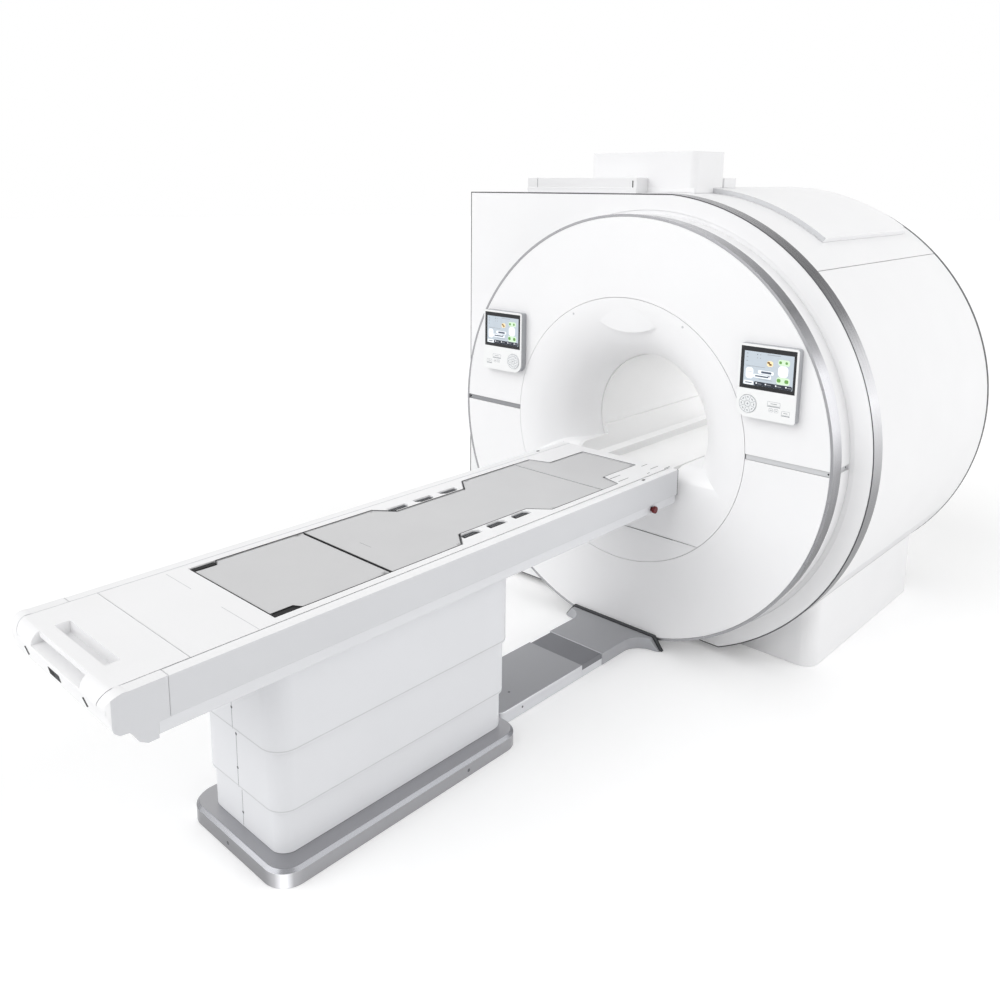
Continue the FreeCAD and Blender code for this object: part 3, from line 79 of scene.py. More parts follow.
# %% Camera
PHOTO_WIDTH = 1000
FOCAL_PIXELS = 921.816
CENTRE_X, CENTRE_Y = 467.11, 368.75
CAMERA_PLACE = (2.5046, face_y - 3.6599, 2.2494)
TURN, DIP, ROLL = 44.2033, 11.3934, 0.1397
camera_data = bpy.data.cameras.new("camera")
camera = bpy.data.objects.new("camera", camera_data)
bpy.context.scene.collection.objects.link(camera)
camera_data.sensor_width = 36
camera_data.lens = camera_data.sensor_width * FOCAL_PIXELS / PHOTO_WIDTH
camera_data.shift_x = 0.5 - CENTRE_X / PHOTO_WIDTH
camera_data.shift_y = CENTRE_Y / PHOTO_WIDTH - 0.5
camera_data.clip_end = 200
camera.matrix_world = (Matrix.Translation(CAMERA_PLACE)
                       @ Matrix.Rotation(math.radians(TURN), 4, "Z")
                       @ Matrix.Rotation(math.radians(90 - DIP), 4, "X")
                       @ Matrix.Rotation(math.radians(ROLL), 4, "Z"))
bpy.context.scene.camera = camera
print("lens", round(camera_data.lens, 2), "mm")

# %% [markdown]
# ## Finishes
# Real covers are never one flat colour: gloss varies in soft patches, and the paint has a fine
# orange peel. Shader node groups hold such effects once, and each material sets its own values.
# Colours are written as they look on a screen and turned into the linear values shaders need.

# %% Finishes: helpers
def linear(red, green, blue):
    """Turn a colour as it looks on a screen, 0 to 255, into the linear colour that shaders use."""
    def channel(value):
        value /= 255
        return value / 12.92 if value <= 0.04045 else ((value + 0.055) / 1.055) ** 2.4
    return (channel(red), channel(green), channel(blue), 1)


def new_group(name, inputs, outputs):
    """Start a shader node group from (name, socket type, default) inputs and (name, type) outputs."""
    group = bpy.data.node_groups.new(name, "ShaderNodeTree")
    for label, kind, default in inputs:
        socket = group.interface.new_socket(label, in_out="INPUT", socket_type=kind)
        socket.default_value = default
    for label, kind in outputs:
        group.interface.new_socket(label, in_out="OUTPUT", socket_type=kind)
    return group, group.nodes.new("NodeGroupInput"), group.nodes.new("NodeGroupOutput")


def add(tree, kind, **settings):
    """Add a shader node and set its plain properties."""
    node = tree.nodes.new(kind)
    for key, value in settings.items():
        setattr(node, key, value)
    return node


def maths(tree, operation, first, second=None):
    """Add a Math node; a number is set on its socket and a socket is linked to it."""
    node = add(tree, "ShaderNodeMath", operation=operation)
    for socket, value in zip(node.inputs, (first, second)):
        if isinstance(value, (int, float)):
            socket.default_value = value
        elif value is not None:
            tree.links.new(value, socket)
    return node.outputs[0]


NUMBER, COLOUR = "NodeSocketFloat", "NodeSocketColor"
GLOSS_SPREAD = 0.12
PATCH_DARK, GRAIN_DEPTH = 0.95, 0.0002
print("helpers ready")

# %% [markdown]
# The covers are sprayed mouldings. Large soft noise moves the colour and the gloss a little, and a
# fine noise gives the height for a weak bump.

# %% Finishes: moulded grain
grain, given, result = new_group(
    "moulded grain",
    [("Light", COLOUR, (1, 1, 1, 1)), ("Dark", COLOUR, (0.9, 0.9, 0.9, 1)),
     ("Patch scale", NUMBER, 3), ("Grain scale", NUMBER, 900), ("Roughness", NUMBER, 0.4)],
    [("Colour", COLOUR), ("Roughness", NUMBER), ("Height", NUMBER)])
where = add(grain, "ShaderNodeTexCoord")
patches = add(grain, "ShaderNodeTexNoise")
patches.inputs["Detail"].default_value = 3
fine = add(grain, "ShaderNodeTexNoise")
fine.inputs["Detail"].default_value = 1
mix = add(grain, "ShaderNodeMix", data_type="RGBA")
spread = add(grain, "ShaderNodeMath", operation="MULTIPLY_ADD")
spread.inputs[1].default_value = GLOSS_SPREAD
grain.links.new(where.outputs["Object"], patches.inputs["Vector"])
grain.links.new(where.outputs["Object"], fine.inputs["Vector"])
grain.links.new(given.outputs["Patch scale"], patches.inputs["Scale"])
grain.links.new(given.outputs["Grain scale"], fine.inputs["Scale"])
grain.links.new(patches.outputs["Fac"], mix.inputs["Factor"])
grain.links.new(given.outputs["Light"], mix.inputs["A"])
grain.links.new(given.outputs["Dark"], mix.inputs["B"])
grain.links.new(patches.outputs["Fac"], spread.inputs[0])
grain.links.new(given.outputs["Roughness"], spread.inputs[2])
grain.links.new(mix.outputs["Result"], result.inputs["Colour"])
grain.links.new(spread.outputs[0], result.inputs["Roughness"])
grain.links.new(fine.outputs["Fac"], result.inputs["Height"])


def moulded(name, colour, roughness=0.35, patch=2.5, grain_scale=700, bump=0.02, metallic=0, coat=0,
            glow=0):
    """A painted or moulded surface with faint patches and a fine orange-peel grain."""
    material = bpy.data.materials.new(name)
    material.use_nodes = True
    tree = material.node_tree
    shader = tree.nodes["Principled BSDF"]
    pattern = add(tree, "ShaderNodeGroup", node_tree=grain)
    light = linear(*colour)
    pattern.inputs["Light"].default_value = light
    pattern.inputs["Dark"].default_value = (*(PATCH_DARK * value for value in light[:3]), 1)
    pattern.inputs["Patch scale"].default_value = patch
    pattern.inputs["Grain scale"].default_value = grain_scale
    pattern.inputs["Roughness"].default_value = roughness - GLOSS_SPREAD / 2
    relief = add(tree, "ShaderNodeBump")
    relief.inputs["Strength"].default_value = bump
    relief.inputs["Distance"].default_value = GRAIN_DEPTH
    tree.links.new(pattern.outputs["Colour"], shader.inputs["Base Color"])
    tree.links.new(pattern.outputs["Roughness"], shader.inputs["Roughness"])
    tree.links.new(pattern.outputs["Height"], relief.inputs["Height"])
    tree.links.new(relief.outputs["Normal"], shader.inputs["Normal"])
    shader.inputs["Metallic"].default_value = metallic
    shader.inputs["Coat Weight"].default_value = coat
    shader.inputs["Coat Roughness"].default_value = 0.15
    if glow:
        shader.inputs["Emission Color"].default_value = light
        shader.inputs["Emission Strength"].default_value = glow
    return material


FINISH = {
    "cover_white": moulded("white gloss cover", (243, 243, 244), roughness=0.32, coat=0.2),
    "plate_white": moulded("white front plate", (243, 243, 244), roughness=0.34, coat=0.2),
    "slot_grey": moulded("pale slot strip", (205, 206, 208), roughness=0.5),
    "barrel_grey": moulded("white barrel cover", (241, 241, 242), roughness=0.4, coat=0.1),
    "under_grey": moulded("shaded underside cover", (228, 228, 230), roughness=0.45),
    "top_metal": moulded("white top covers", (240, 240, 241), roughness=0.42),
    "liner_white": moulded("white bore liner", (240, 240, 240), roughness=0.4),
    "vessel_steel": moulded("vessel steel", (170, 172, 175), roughness=0.4, metallic=0.9),
    "coil_resin": moulded("coil resin", (120, 96, 62), roughness=0.5),
    "rf_resin": moulded("body coil resin", (190, 186, 170), roughness=0.5),
    "foot_iron": moulded("magnet foot paint", (90, 94, 100), roughness=0.5),
    "panel_dark": moulded("grey panel body", (172, 174, 178), roughness=0.4),
    "panel_white": moulded("white panel front", (243, 244, 244), roughness=0.3),
    "screen_glass": moulded("screen glass", (20, 22, 26), roughness=0.12),
    "key_grey": moulded("pale key", (236, 238, 239), roughness=0.4),
    "bridge_grey": moulded("grey floor bridge", (152, 153, 157), roughness=0.3, coat=0.3),
    "strip_dark": moulded("dark bridge strip", (116, 117, 122), roughness=0.4),
    "seal_rubber": moulded("seal rubber", (62, 63, 66), roughness=0.6),
    "column_grey": moulded("column covers", (226, 227, 230), roughness=0.4),
    "stage_steel": moulded("lift stage steel", (150, 152, 156), roughness=0.35, metallic=0.9),
    "table_white": moulded("white table", (244, 244, 245), roughness=0.34, coat=0.2),
    "apron_grey": moulded("table underside", (224, 225, 228), roughness=0.4),
    "cradle_white": moulded("white cradle", (244, 244, 245), roughness=0.34, coat=0.2),
    "mat_grey": moulded("grey mat", (206, 206, 207), roughness=0.42, patch=5, grain_scale=1500,
                        bump=0.08),
    "socket_dark": moulded("dark coil socket", (92, 94, 98), roughness=0.5),
    "belt_rubber": moulded("belt rubber", (40, 40, 42), roughness=0.7),
    "motor_metal": moulded("motor metal", (140, 142, 146), roughness=0.35, metallic=0.8),
    "knob_red": moulded("red stop knob", (98, 6, 14), roughness=0.4),
}
# Painted shade for the flanks of the rails and the table's end cap.
RAIL_FLANK_PAINTED_SHADE = moulded("satin rail flank with painted shade", (213, 214, 217), roughness=0.42)
SEAM = moulded("seam shadow", (142, 143, 146), roughness=0.7)
# Pale seams, and painted shade on the top cap's front step and at the column covers' feet.
PALE_SEAM_AND_PAINTED_SHADE = moulded("pale seam and painted shade", (205, 206, 208), roughness=0.6)
STRIP_SHADOW = moulded("left slot strip", (150, 151, 154), roughness=0.6)
REAR_METAL = moulded("dark rear band", (58, 59, 63), roughness=0.3, metallic=0.5)
DARK_JOINT_AND_PAINTED_SHADOW = moulded("dark joint and painted recess shadow", (52, 53, 56), roughness=0.7)
BLACK_GAP = moulded("black gaps, dots and painted recess shadow", (18, 18, 20), roughness=0.8)
SCREW = moulded("screw steel", (120, 122, 126), roughness=0.35, metallic=0.8)
print(len(FINISH), "finishes")

# %% [markdown]
# The trims are polished aluminium bands. Bent round the disc and the plate they would show the room in
# soft bright and dark stretches. Here these reflections are painted, as a colour ramp over the turn
# about the bore, and the narrow front lips keep one plain grey. Brushing is a noise stretched along the
# band. The base plate is a brushed metal of the same kind, with painted reflections that follow the
# turn about an upright.

# %% Finishes: polished bands
around_bore, given, result = new_group(
    "turn about the bore", [("Axis height", NUMBER, 1)],
    [("Turn", NUMBER), ("Lip", NUMBER), ("Brushing", NUMBER)])
where = add(around_bore, "ShaderNodeTexCoord")
parts = add(around_bore, "ShaderNodeSeparateXYZ")
around_bore.links.new(where.outputs["Object"], parts.inputs[0])
height = maths(around_bore, "SUBTRACT", parts.outputs["Z"], given.outputs["Axis height"])
turn = maths(around_bore, "ARCTAN2", maths(around_bore, "ABSOLUTE", parts.outputs["X"]), height)
around_bore.links.new(maths(around_bore, "DIVIDE", turn, math.pi), result.inputs["Turn"])
facing = add(around_bore, "ShaderNodeSeparateXYZ")
around_bore.links.new(add(around_bore, "ShaderNodeNewGeometry").outputs["Normal"], facing.inputs[0])
lip = maths(around_bore, "GREATER_THAN", maths(around_bore, "ABSOLUTE", facing.outputs["Y"]), 0.8)
around_bore.links.new(lip, result.inputs["Lip"])
stretched = add(around_bore, "ShaderNodeCombineXYZ")
around_bore.links.new(maths(around_bore, "MULTIPLY", turn, 4), stretched.inputs["X"])
around_bore.links.new(maths(around_bore, "MULTIPLY", parts.outputs["Y"], 900), stretched.inputs["Y"])
brush = add(around_bore, "ShaderNodeTexNoise")
brush.inputs["Scale"].default_value = 1
around_bore.links.new(stretched.outputs[0], brush.inputs["Vector"])
around_bore.links.new(brush.outputs["Fac"], result.inputs["Brushing"])

upright_turn, given, result = new_group(
    "turn about an upright", [("Scale", NUMBER, 1)], [("Turn", NUMBER), ("Up", NUMBER)])
facing = add(upright_turn, "ShaderNodeSeparateXYZ")
upright_turn.links.new(add(upright_turn, "ShaderNodeNewGeometry").outputs["Normal"], facing.inputs[0])
backwards = maths(upright_turn, "MULTIPLY", facing.outputs["Y"], -1)
turn = maths(upright_turn, "ARCTAN2", facing.outputs["X"], backwards)
turn = maths(upright_turn, "DIVIDE", turn, math.pi)
turn = maths(upright_turn, "MULTIPLY", turn, given.outputs["Scale"])
upright_turn.links.new(maths(upright_turn, "ABSOLUTE", turn), result.inputs["Turn"])
upright_turn.links.new(facing.outputs["Z"], result.inputs["Up"])


def fill_ramp(ramp, stops):
    """Write (place from 0 to 1, grey from 0 to 255) stops into a colour ramp."""
    while len(ramp.elements) < len(stops):
        ramp.elements.new(1)
    for element, (place, grey) in zip(ramp.elements, stops):
        element.position = place
        element.color = linear(grey, grey, min(255, grey + 3))


def metal_with_painted_reflections(name, group, stops, plain_grey):
    """Metal with painted reflections: its tone follows the group's Turn, or is one plain grey where the
    mix's Factor is 1.
    """
    material = bpy.data.materials.new(name)
    material.use_nodes = True
    tree = material.node_tree
    shader = tree.nodes["Principled BSDF"]
    turn_about = add(tree, "ShaderNodeGroup", node_tree=group)
    ramp = add(tree, "ShaderNodeValToRGB")
    fill_ramp(ramp.color_ramp, stops)
    mix = add(tree, "ShaderNodeMix", data_type="RGBA")
    mix.inputs["B"].default_value = linear(plain_grey, plain_grey, plain_grey + 3)
    tree.links.new(turn_about.outputs["Turn"], ramp.inputs["Fac"])
    tree.links.new(ramp.outputs["Color"], mix.inputs["A"])
    tree.links.new(mix.outputs["Result"], shader.inputs["Base Color"])
    shader.inputs["Metallic"].default_value = 1
    return material, turn_about, mix, shader


def band_with_painted_reflections(name, stops, lip_grey, roughness=0.28):
    """Polished band with painted reflections, whose tone changes with the turn about the bore, with a
    plain front lip.
    """
    material, turn_about, mix, shader = metal_with_painted_reflections(name, around_bore, stops, lip_grey)
    tree = material.node_tree
    turn_about.inputs["Axis height"].default_value = axis_z
    tree.links.new(turn_about.outputs["Lip"], mix.inputs["Factor"])
    brushing = maths(tree, "MULTIPLY", turn_about.outputs["Brushing"], GLOSS_SPREAD)
    gloss = maths(tree, "ADD", brushing, roughness - GLOSS_SPREAD / 2)
    tree.links.new(gloss, shader.inputs["Roughness"])
    return material


# Painted reflections: these ramps are the bright and dark stretches of the disc and plate bands.
DISC_BAND_PAINTED_REFLECTIONS = band_with_painted_reflections("polished disc band with painted reflections", [
    (0, 168), (0.06, 180), (0.12, 165), (0.17, 140), (0.22, 122), (0.28, 112), (0.335, 172),
    (0.37, 250), (0.44, 250), (0.5, 170), (0.555, 140), (0.61, 120), (0.67, 125), (0.72, 145),
    (1, 150)], 168)
PLATE_BAND_PAINTED_REFLECTIONS = band_with_painted_reflections("polished plate band with painted reflections", [
    (0, 120), (0.03, 160), (0.083, 135), (0.14, 120), (0.195, 92), (0.25, 82), (0.305, 112),
    (0.36, 205), (0.417, 240), (0.47, 190), (0.53, 130), (0.58, 108), (0.64, 90), (0.7, 66),
    (1, 100)], 90)
# Painted reflections on the base plate's sides, following the turn of their faces; its top is one plain
# grey.
BASE_METAL_PAINTED_REFLECTIONS, turn_about, mix, shader = metal_with_painted_reflections("brushed base metal with painted reflections", upright_turn, [
    (0, 148), (0.06, 164), (0.15, 192), (0.23, 248), (0.3, 252), (0.38, 180), (0.5, 166), (0.75, 170),
    (1, 150)], 170)
tree = BASE_METAL_PAINTED_REFLECTIONS.node_tree
faces_up = maths(tree, "GREATER_THAN", turn_about.outputs["Up"], 0.9)
tree.links.new(faces_up, mix.inputs["Factor"])
shader.inputs["Roughness"].default_value = 0.34
FINISH["silver_trim"] = DISC_BAND_PAINTED_REFLECTIONS
FINISH["base_grey"] = BASE_METAL_PAINTED_REFLECTIONS
# Painted highlight for the floor bridge's top edges.
BRIDGE_EDGE_PAINTED_HIGHLIGHT = moulded("bridge edge painted highlight", (225, 226, 229), roughness=0.25, metallic=0.9)
# Painted highlight for the base plate's chamfer.
CHAMFER_PAINTED_HIGHLIGHT = moulded("base chamfer painted highlight", (148, 149, 153), roughness=0.25, metallic=0.9)
SILVER_SIDE = moulded("silver strip side", (222, 223, 226), roughness=0.3, metallic=0.9)
DOCK_SIDE = moulded("dock side paint", (178, 179, 183), roughness=0.3, metallic=0.4)
for name, item in NODES.items():
    item.data.materials.clear()
    item.data.materials.append(FINISH[SLOT_OF[name]])
print("bands for", [name for name, slot in SLOT_OF.items() if slot == "silver_trim"])

# %% [markdown]
# ## Softened copies
# A CAD solid has knife edges, and no real moulding does. Each visible node gets a merged copy with
# a live Bevel modifier, whose harden normals keep the flats flat. The CAD mesh itself stays as it
# is, and the copy stands for it.

# %% Softened copies
def new_piece(name, mesh, materials, body):
    """Turn a bmesh into an object that rides on a CAD body."""
    data = bpy.data.meshes.new(name)
    mesh.to_mesh(data)
    mesh.free()
    piece = bpy.data.objects.new(name, data)
    bpy.context.scene.collection.objects.link(piece)
    for material in materials if isinstance(materials, (list, tuple)) else [materials]:
        data.materials.append(material)
    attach(piece, body)
    return piece


def smooth(piece, angle=30):
    """Shade a piece smooth, but for the edges that turn by more than angle degrees."""
    for face in piece.data.polygons:
        face.use_smooth = True
    piece.data.set_sharp_from_angle(angle=math.radians(angle))


def soften_edges(piece, width, segments):
    """Round the clear edges, then divide the large flat faces evenly so that they shade flat."""
    bevel = piece.modifiers.new("soft edges", "BEVEL")
    bevel.width = width
    bevel.segments = segments
    bevel.limit_method = "ANGLE"
    bevel.angle_limit = math.radians(30)
    bevel.harden_normals = True
    bevel.use_clamp_overlap = True
    facets = piece.modifiers.new("even facets", "TRIANGULATE")
    facets.min_vertices = 40
    facets.ngon_method = "BEAUTY"
    facets.keep_custom_normals = True


def merged(node):
    """The CAD node's triangles, joined into whole faces."""
    mesh = bmesh.new()
    mesh.from_mesh(NODES[node].data)
    bmesh.ops.remove_doubles(mesh, verts=mesh.verts, dist=1e-5)
    bmesh.ops.dissolve_limit(mesh, angle_limit=math.radians(0.2), verts=mesh.verts, edges=mesh.edges)
    return mesh


def softened(node, width, segments):
    """Merged copy of a CAD node with rounded edges, which stands for it."""
    slot = SLOT_OF[node]
    piece = new_piece(node + "_moulding", merged(node), FINISH[slot], BODY_OF[node])
    smooth(piece)
    soften_edges(piece, width, segments)
    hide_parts(node)
    return piece


def paint(piece, material, chosen):
    """Give a second finish to the faces for which chosen(normal, centre) is true."""
    piece.data.materials.append(material)
    for face in piece.data.polygons:
        if chosen(face.normal, face.center):
            face.material_index = len(piece.data.materials) - 1


PIECE = {}
ROUNDER = ("table_end_cap", "cradle_end_cap")
for node, width in {
    "disc_upper_cover": 0.002, "disc_lower_cover": 0.002, "disc_trim_ring": 0.001, "slot_strips": 0.001,
    "bore_funnel": 0.002, "funnel_lower_panel": 0.0015, "front_plate": 0.0015,
    "front_plate_trim": 0.0015,
    "barrel_top_cover": 0.002, "right_side_cover": 0.002, "left_side_cover": 0.002,
    "underside_covers": 0.002, "top_cap": 0.004, "rear_trim_ring": 0.002, "rear_cover": 0.002,
    "rear_funnel": 0.002, "left_housing": 0.006, "service_tray": 0.004, "cold_head_cover": 0.008,
    "pedestal_cover": 0.003, "panel_housings": 0.002, "panel_fascias": 0.0012, "panel_screens": 0.0005,
    "base_plate": 0.001, "floor_bridge": 0.003, "bridge_mid_strip": 0.002, "dock_end": 0.004,
    "dock_seal": 0.003, "column_lower_cover": 0.002, "column_middle_cover": 0.002,
    "column_upper_cover": 0.002, "table_frame": 0.003, "side_rails": 0.004, "table_end_cap": 0.011,
    "cradle_board": 0.0015, "cradle_end_cap": 0.003, "coil_sockets": 0.001, "emergency_knob": 0.002,
}.items():
    PIECE[node] = softened(node, width, 5 if node in ROUNDER else 3)
print(len(PIECE), "softened copies")

# %% [markdown]
# The grips at the foot of the cradle are soft hollows. Their rims and floors are rounded far more
# than the other edges, which a bevel on just those edges does before the live modifier acts.

# %% Soft grips
GRIP_HALF, CRADLE_TOP, GRIP_ROUNDING = 0.1685, 0.942, 0.011
CLEAR_BEND = 0.5
cap = PIECE["cradle_end_cap"]
mesh = bmesh.new()
mesh.from_mesh(cap.data)
bends = [edge for edge in mesh.edges if edge.calc_face_angle(0) > CLEAR_BEND
         and all(abs(vert.co.x) < GRIP_HALF for vert in edge.verts)]
floors = [edge for edge in bends if not edge.is_convex]
rims = [edge for edge in bends if edge.is_convex and all(vert.co.z > CRADLE_TOP for vert in edge.verts)]
print(len(floors), "floor edges and", len(rims), "rim edges of the grips")
bmesh.ops.bevel(mesh, geom=floors + rims, offset=GRIP_ROUNDING, offset_type="OFFSET", segments=5,
                profile=0.5, affect="EDGES", clamp_overlap=True, material=-1)
mesh.to_mesh(cap.data)
mesh.free()
smooth(cap, 40)

# %% [markdown]
# Some mouldings have two finishes: the rails are gloss on top and satin on their flanks, whose grey is
# painted shade, as on the end cap's flanks; the left slot strip carries painted shadow, the top cap's
# front step painted shade, the base plate's chamfer a painted highlight, and the floor bridge has
# silver sides. The faces are picked by the way they look or by their place. The stop knob is drawn a
# little slimmer than its CAD solid.

# %% Second finishes
def on_flank(normal, centre):
    return abs(normal.x) > 0.75


def on_side(normal, centre):
    return abs(normal.z) < 0.5


KNOB_SHARE = 0.82
PIECE["front_plate_trim"].data.materials[0] = PLATE_BAND_PAINTED_REFLECTIONS
PIECE["rear_trim_ring"].data.materials[0] = REAR_METAL
# Painted shade on the flanks of the rails and of the table's end cap.
paint(PIECE["side_rails"], RAIL_FLANK_PAINTED_SHADE, on_flank)
paint(PIECE["table_end_cap"], RAIL_FLANK_PAINTED_SHADE, on_flank)
paint(PIECE["floor_bridge"], SILVER_SIDE, on_side)
paint(PIECE["dock_end"], DOCK_SIDE, on_side)
paint(PIECE["bridge_mid_strip"], SILVER_SIDE, lambda normal, centre: abs(normal.z) < 0.2)
# Painted highlight on the base plate's chamfer.
paint(PIECE["base_plate"], CHAMFER_PAINTED_HIGHLIGHT, lambda normal, centre: 0.3 < normal.z < 0.95)
# Painted shade on the top cap's front step.
paint(PIECE["top_cap"], PALE_SEAM_AND_PAINTED_SHADE, lambda normal, centre: normal.y < -0.5 and centre.x < 0.8)
paint(PIECE["slot_strips"], STRIP_SHADOW, lambda normal, centre: centre.x < 0)
knob_low, knob_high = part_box("emergency_knob")
knob_middle = (knob_low + knob_high) / 2
shrink = (Matrix.Translation(knob_middle) @ Matrix.Diagonal((1, KNOB_SHARE, KNOB_SHARE, 1))
          @ Matrix.Translation(-knob_middle))
PIECE["emergency_knob"].data.transform(shrink)

# %% [markdown]
# ## Small fittings
# Screws, seams, sockets and screen graphics all lie on a surface. A frame, with its third axis out
# of the surface, says where each one sits. Each shape starts as a circle: pulled apart it becomes a
# rounded rectangle, bridged to a smaller one it becomes a ring, and extruding gives it thickness.

# %% Small fittings: helpers
SUNK = 0.0008
TREES = {}


def frame_at(point, out, up=(0, 0, 1)):
    """A frame with its third axis out of a surface and its second one as near up as it can be."""
    out = Vector(out).normalized()
    right = Vector(up).cross(out).normalized()
    return Matrix.Translation(point) @ Matrix((right, out.cross(right), out)).transposed().to_4x4()


def place_on(node, start, towards, up=(0, 0, 1)):
    """The frame where a straight line from start first meets a CAD surface."""
    if node not in TREES:
        data = NODES[node].data
        TREES[node] = BVHTree.FromPolygons([vert.co for vert in data.vertices],
                                           [tuple(face.vertices) for face in data.polygons])
    point, normal = TREES[node].ray_cast(Vector(start), Vector(towards))[:2]
    if point is None:
        print("nothing of", node, "ahead of", start)
        point, normal = Vector(start), -Vector(towards)
    return frame_at(point, normal, up)


def from_front(node, x, y, z):
    """The frame on the surface that a line into the bore meets, starting 1 m before y."""
    return place_on(node, (x, y - 1, z), (0, 1, 0))


def from_above(node, x, y, start=2):
    """The frame on the surface that a line straight down meets, its second axis into the bore."""
    return place_on(node, (x, y, start), (0, 0, -1), (0, 1, 0))


def outline(mesh, width, height, corner, steps, x, y, filled):
    """Rounded rectangle made from a circle, whose quarters are pulled apart."""
    made = bmesh.ops.create_circle(mesh, cap_ends=filled, segments=steps, radius=corner)["verts"]
    bmesh.ops.rotate(mesh, verts=made, cent=(0, 0, 0), matrix=Matrix.Rotation(math.pi / steps, 3, "Z"))
    for vert in made:
        vert.co.x += math.copysign(width / 2 - corner, vert.co.x) + x
        vert.co.y += math.copysign(height / 2 - corner, vert.co.y) + y
    return made


def raise_up(mesh, place, verts, faces, raised, finish):
    """Thicken a flat shape, give it its finish and set it into the surface at place."""
    bmesh.ops.recalc_face_normals(mesh, faces=faces)
    made = bmesh.ops.extrude_face_region(mesh, geom=faces)["geom"]
    top = [item for item in made if isinstance(item, bmesh.types.BMVert)]
    bmesh.ops.translate(mesh, verts=top, vec=(0, 0, raised + SUNK))
    everything = list(set(verts) | set(top))
    for face in {face for vert in everything for face in vert.link_faces}:
        face.material_index = finish
    bmesh.ops.transform(mesh, matrix=place @ Matrix.Translation((0, 0, -SUNK)), verts=everything)


def tile(mesh, place, width, height, raised=0.0004, corner=0.0006, steps=12, x=0, y=0, finish=0):
    """Thin rounded plate on a surface, its centre moved by x and y within the frame."""
    verts = outline(mesh, width, height, corner, steps, x, y, True)
    raise_up(mesh, place, verts, list(verts[0].link_faces), raised, finish)


def ring(mesh, place, outer, inner, raised=0.0004, steps=32, x=0, y=0, finish=0):
    """Thin plate with a hole; outer and inner are (width, height, corner)."""
    rims = [outline(mesh, *size, steps, x, y, False) for size in (outer, inner)]
    edges = list({edge for rim in rims for vert in rim for edge in vert.link_edges})
    faces = bmesh.ops.bridge_loops(mesh, edges=edges)["faces"]
    raise_up(mesh, place, rims[0] + rims[1], faces, raised, finish)


def dot(mesh, place, radius, raised=0.0004, x=0, y=0, finish=0):
    """Thin round plate on a surface."""
    tile(mesh, place, 2 * radius, 2 * radius, raised, radius * 0.999, 20, x, y, finish)


def screw(mesh, place, radius, x=0, y=0):
    """Round screw head in a dark countersink, with a dark hexagonal socket."""
    dot(mesh, place, radius * 1.3, 0.0002, x, y, finish=1)
    dot(mesh, place, radius, 0.0005, x, y, finish=0)
    tile(mesh, place, radius * 0.9, radius * 0.9, 0.0007, radius * 0.44, 6, x, y, finish=1)


def finished(name, mesh, materials, body):
    """Point every face outwards and hang the piece on its body."""
    bmesh.ops.recalc_face_normals(mesh, faces=mesh.faces)
    return new_piece(name, mesh, materials, body)


def seam_band(name, node, plane, normal, along, material, raised=0.0005, keep=None):
    """Narrow band round a node where a plane cuts it, for a seam between two mouldings."""
    mesh = merged(node)
    everything = mesh.verts[:] + mesh.edges[:] + mesh.faces[:]
    bmesh.ops.bisect_plane(mesh, geom=everything, dist=1e-6, plane_co=plane, plane_no=normal,
                           clear_outer=True, clear_inner=True)
    if keep:
        gone = [edge for edge in mesh.edges if not keep((edge.verts[0].co + edge.verts[1].co) / 2)]
        bmesh.ops.delete(mesh, geom=gone, context="EDGES")
    made = bmesh.ops.extrude_edge_only(mesh, edges=mesh.edges[:])["geom"]
    far = [item for item in made if isinstance(item, bmesh.types.BMVert)]
    bmesh.ops.translate(mesh, verts=far, vec=along)
    bmesh.ops.recalc_face_normals(mesh, faces=mesh.faces)
    piece = new_piece(name, mesh, material, BODY_OF[node])
    wall = piece.modifiers.new("wall", "SOLIDIFY")
    wall.thickness = raised
    wall.offset = 1
    return piece


print("fittings can be placed")

# %% [markdown]
# ### Screws, dots and seams
# Most of these are a few pixels in the photograph, but without them a moulding looks like a
# block. Each group rides on the body that carries it: the column's three covers move apart.

# %% Screws and seams of the scanner
mesh = bmesh.new()
for side in (-1, 1):
    screw(mesh, from_front("bore_funnel", side * 0.312, face_y, 1.608), 0.0045)
finished("funnel_screws", mesh, [PALE_SEAM_AND_PAINTED_SHADE, PALE_SEAM_AND_PAINTED_SHADE], "gantry")

STRIP_DOT, STRIP_DOT_HEIGHT = 0.004, 1.068
mesh = bmesh.new()
for side in (-1, 1):
    dot(mesh, from_front("slot_strips", side * 1.028, face_y, STRIP_DOT_HEIGHT), STRIP_DOT, 0.0006)
    place = place_on("slot_strips", (side * 1.5, face_y + 0.16, STRIP_DOT_HEIGHT), (-side, 0, 0))
    dot(mesh, place, STRIP_DOT, 0.0006)
finished("slot_end_dots", mesh, BLACK_GAP, "gantry")

TRAY_SLIT_X, TRAY_SEAM_X, TRAY_MARK_HEIGHT = -0.19, -0.811, 2.25
tray_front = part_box("service_tray")[0].y
mesh = bmesh.new()
place = from_front("service_tray", TRAY_SLIT_X, tray_front, TRAY_MARK_HEIGHT)
tile(mesh, place, 0.006, 0.034, y=-0.004)
place = from_front("service_tray", TRAY_SEAM_X, tray_front, TRAY_MARK_HEIGHT)
tile(mesh, place, 0.003, 0.048, y=-0.002, finish=1)
place = from_above("service_tray", TRAY_SEAM_X, tray_front + 0.2, 3)
tile(mesh, place, 0.003, 0.4, finish=1)
finished("tray_slit_and_seam", mesh, [BLACK_GAP, SEAM], "gantry")

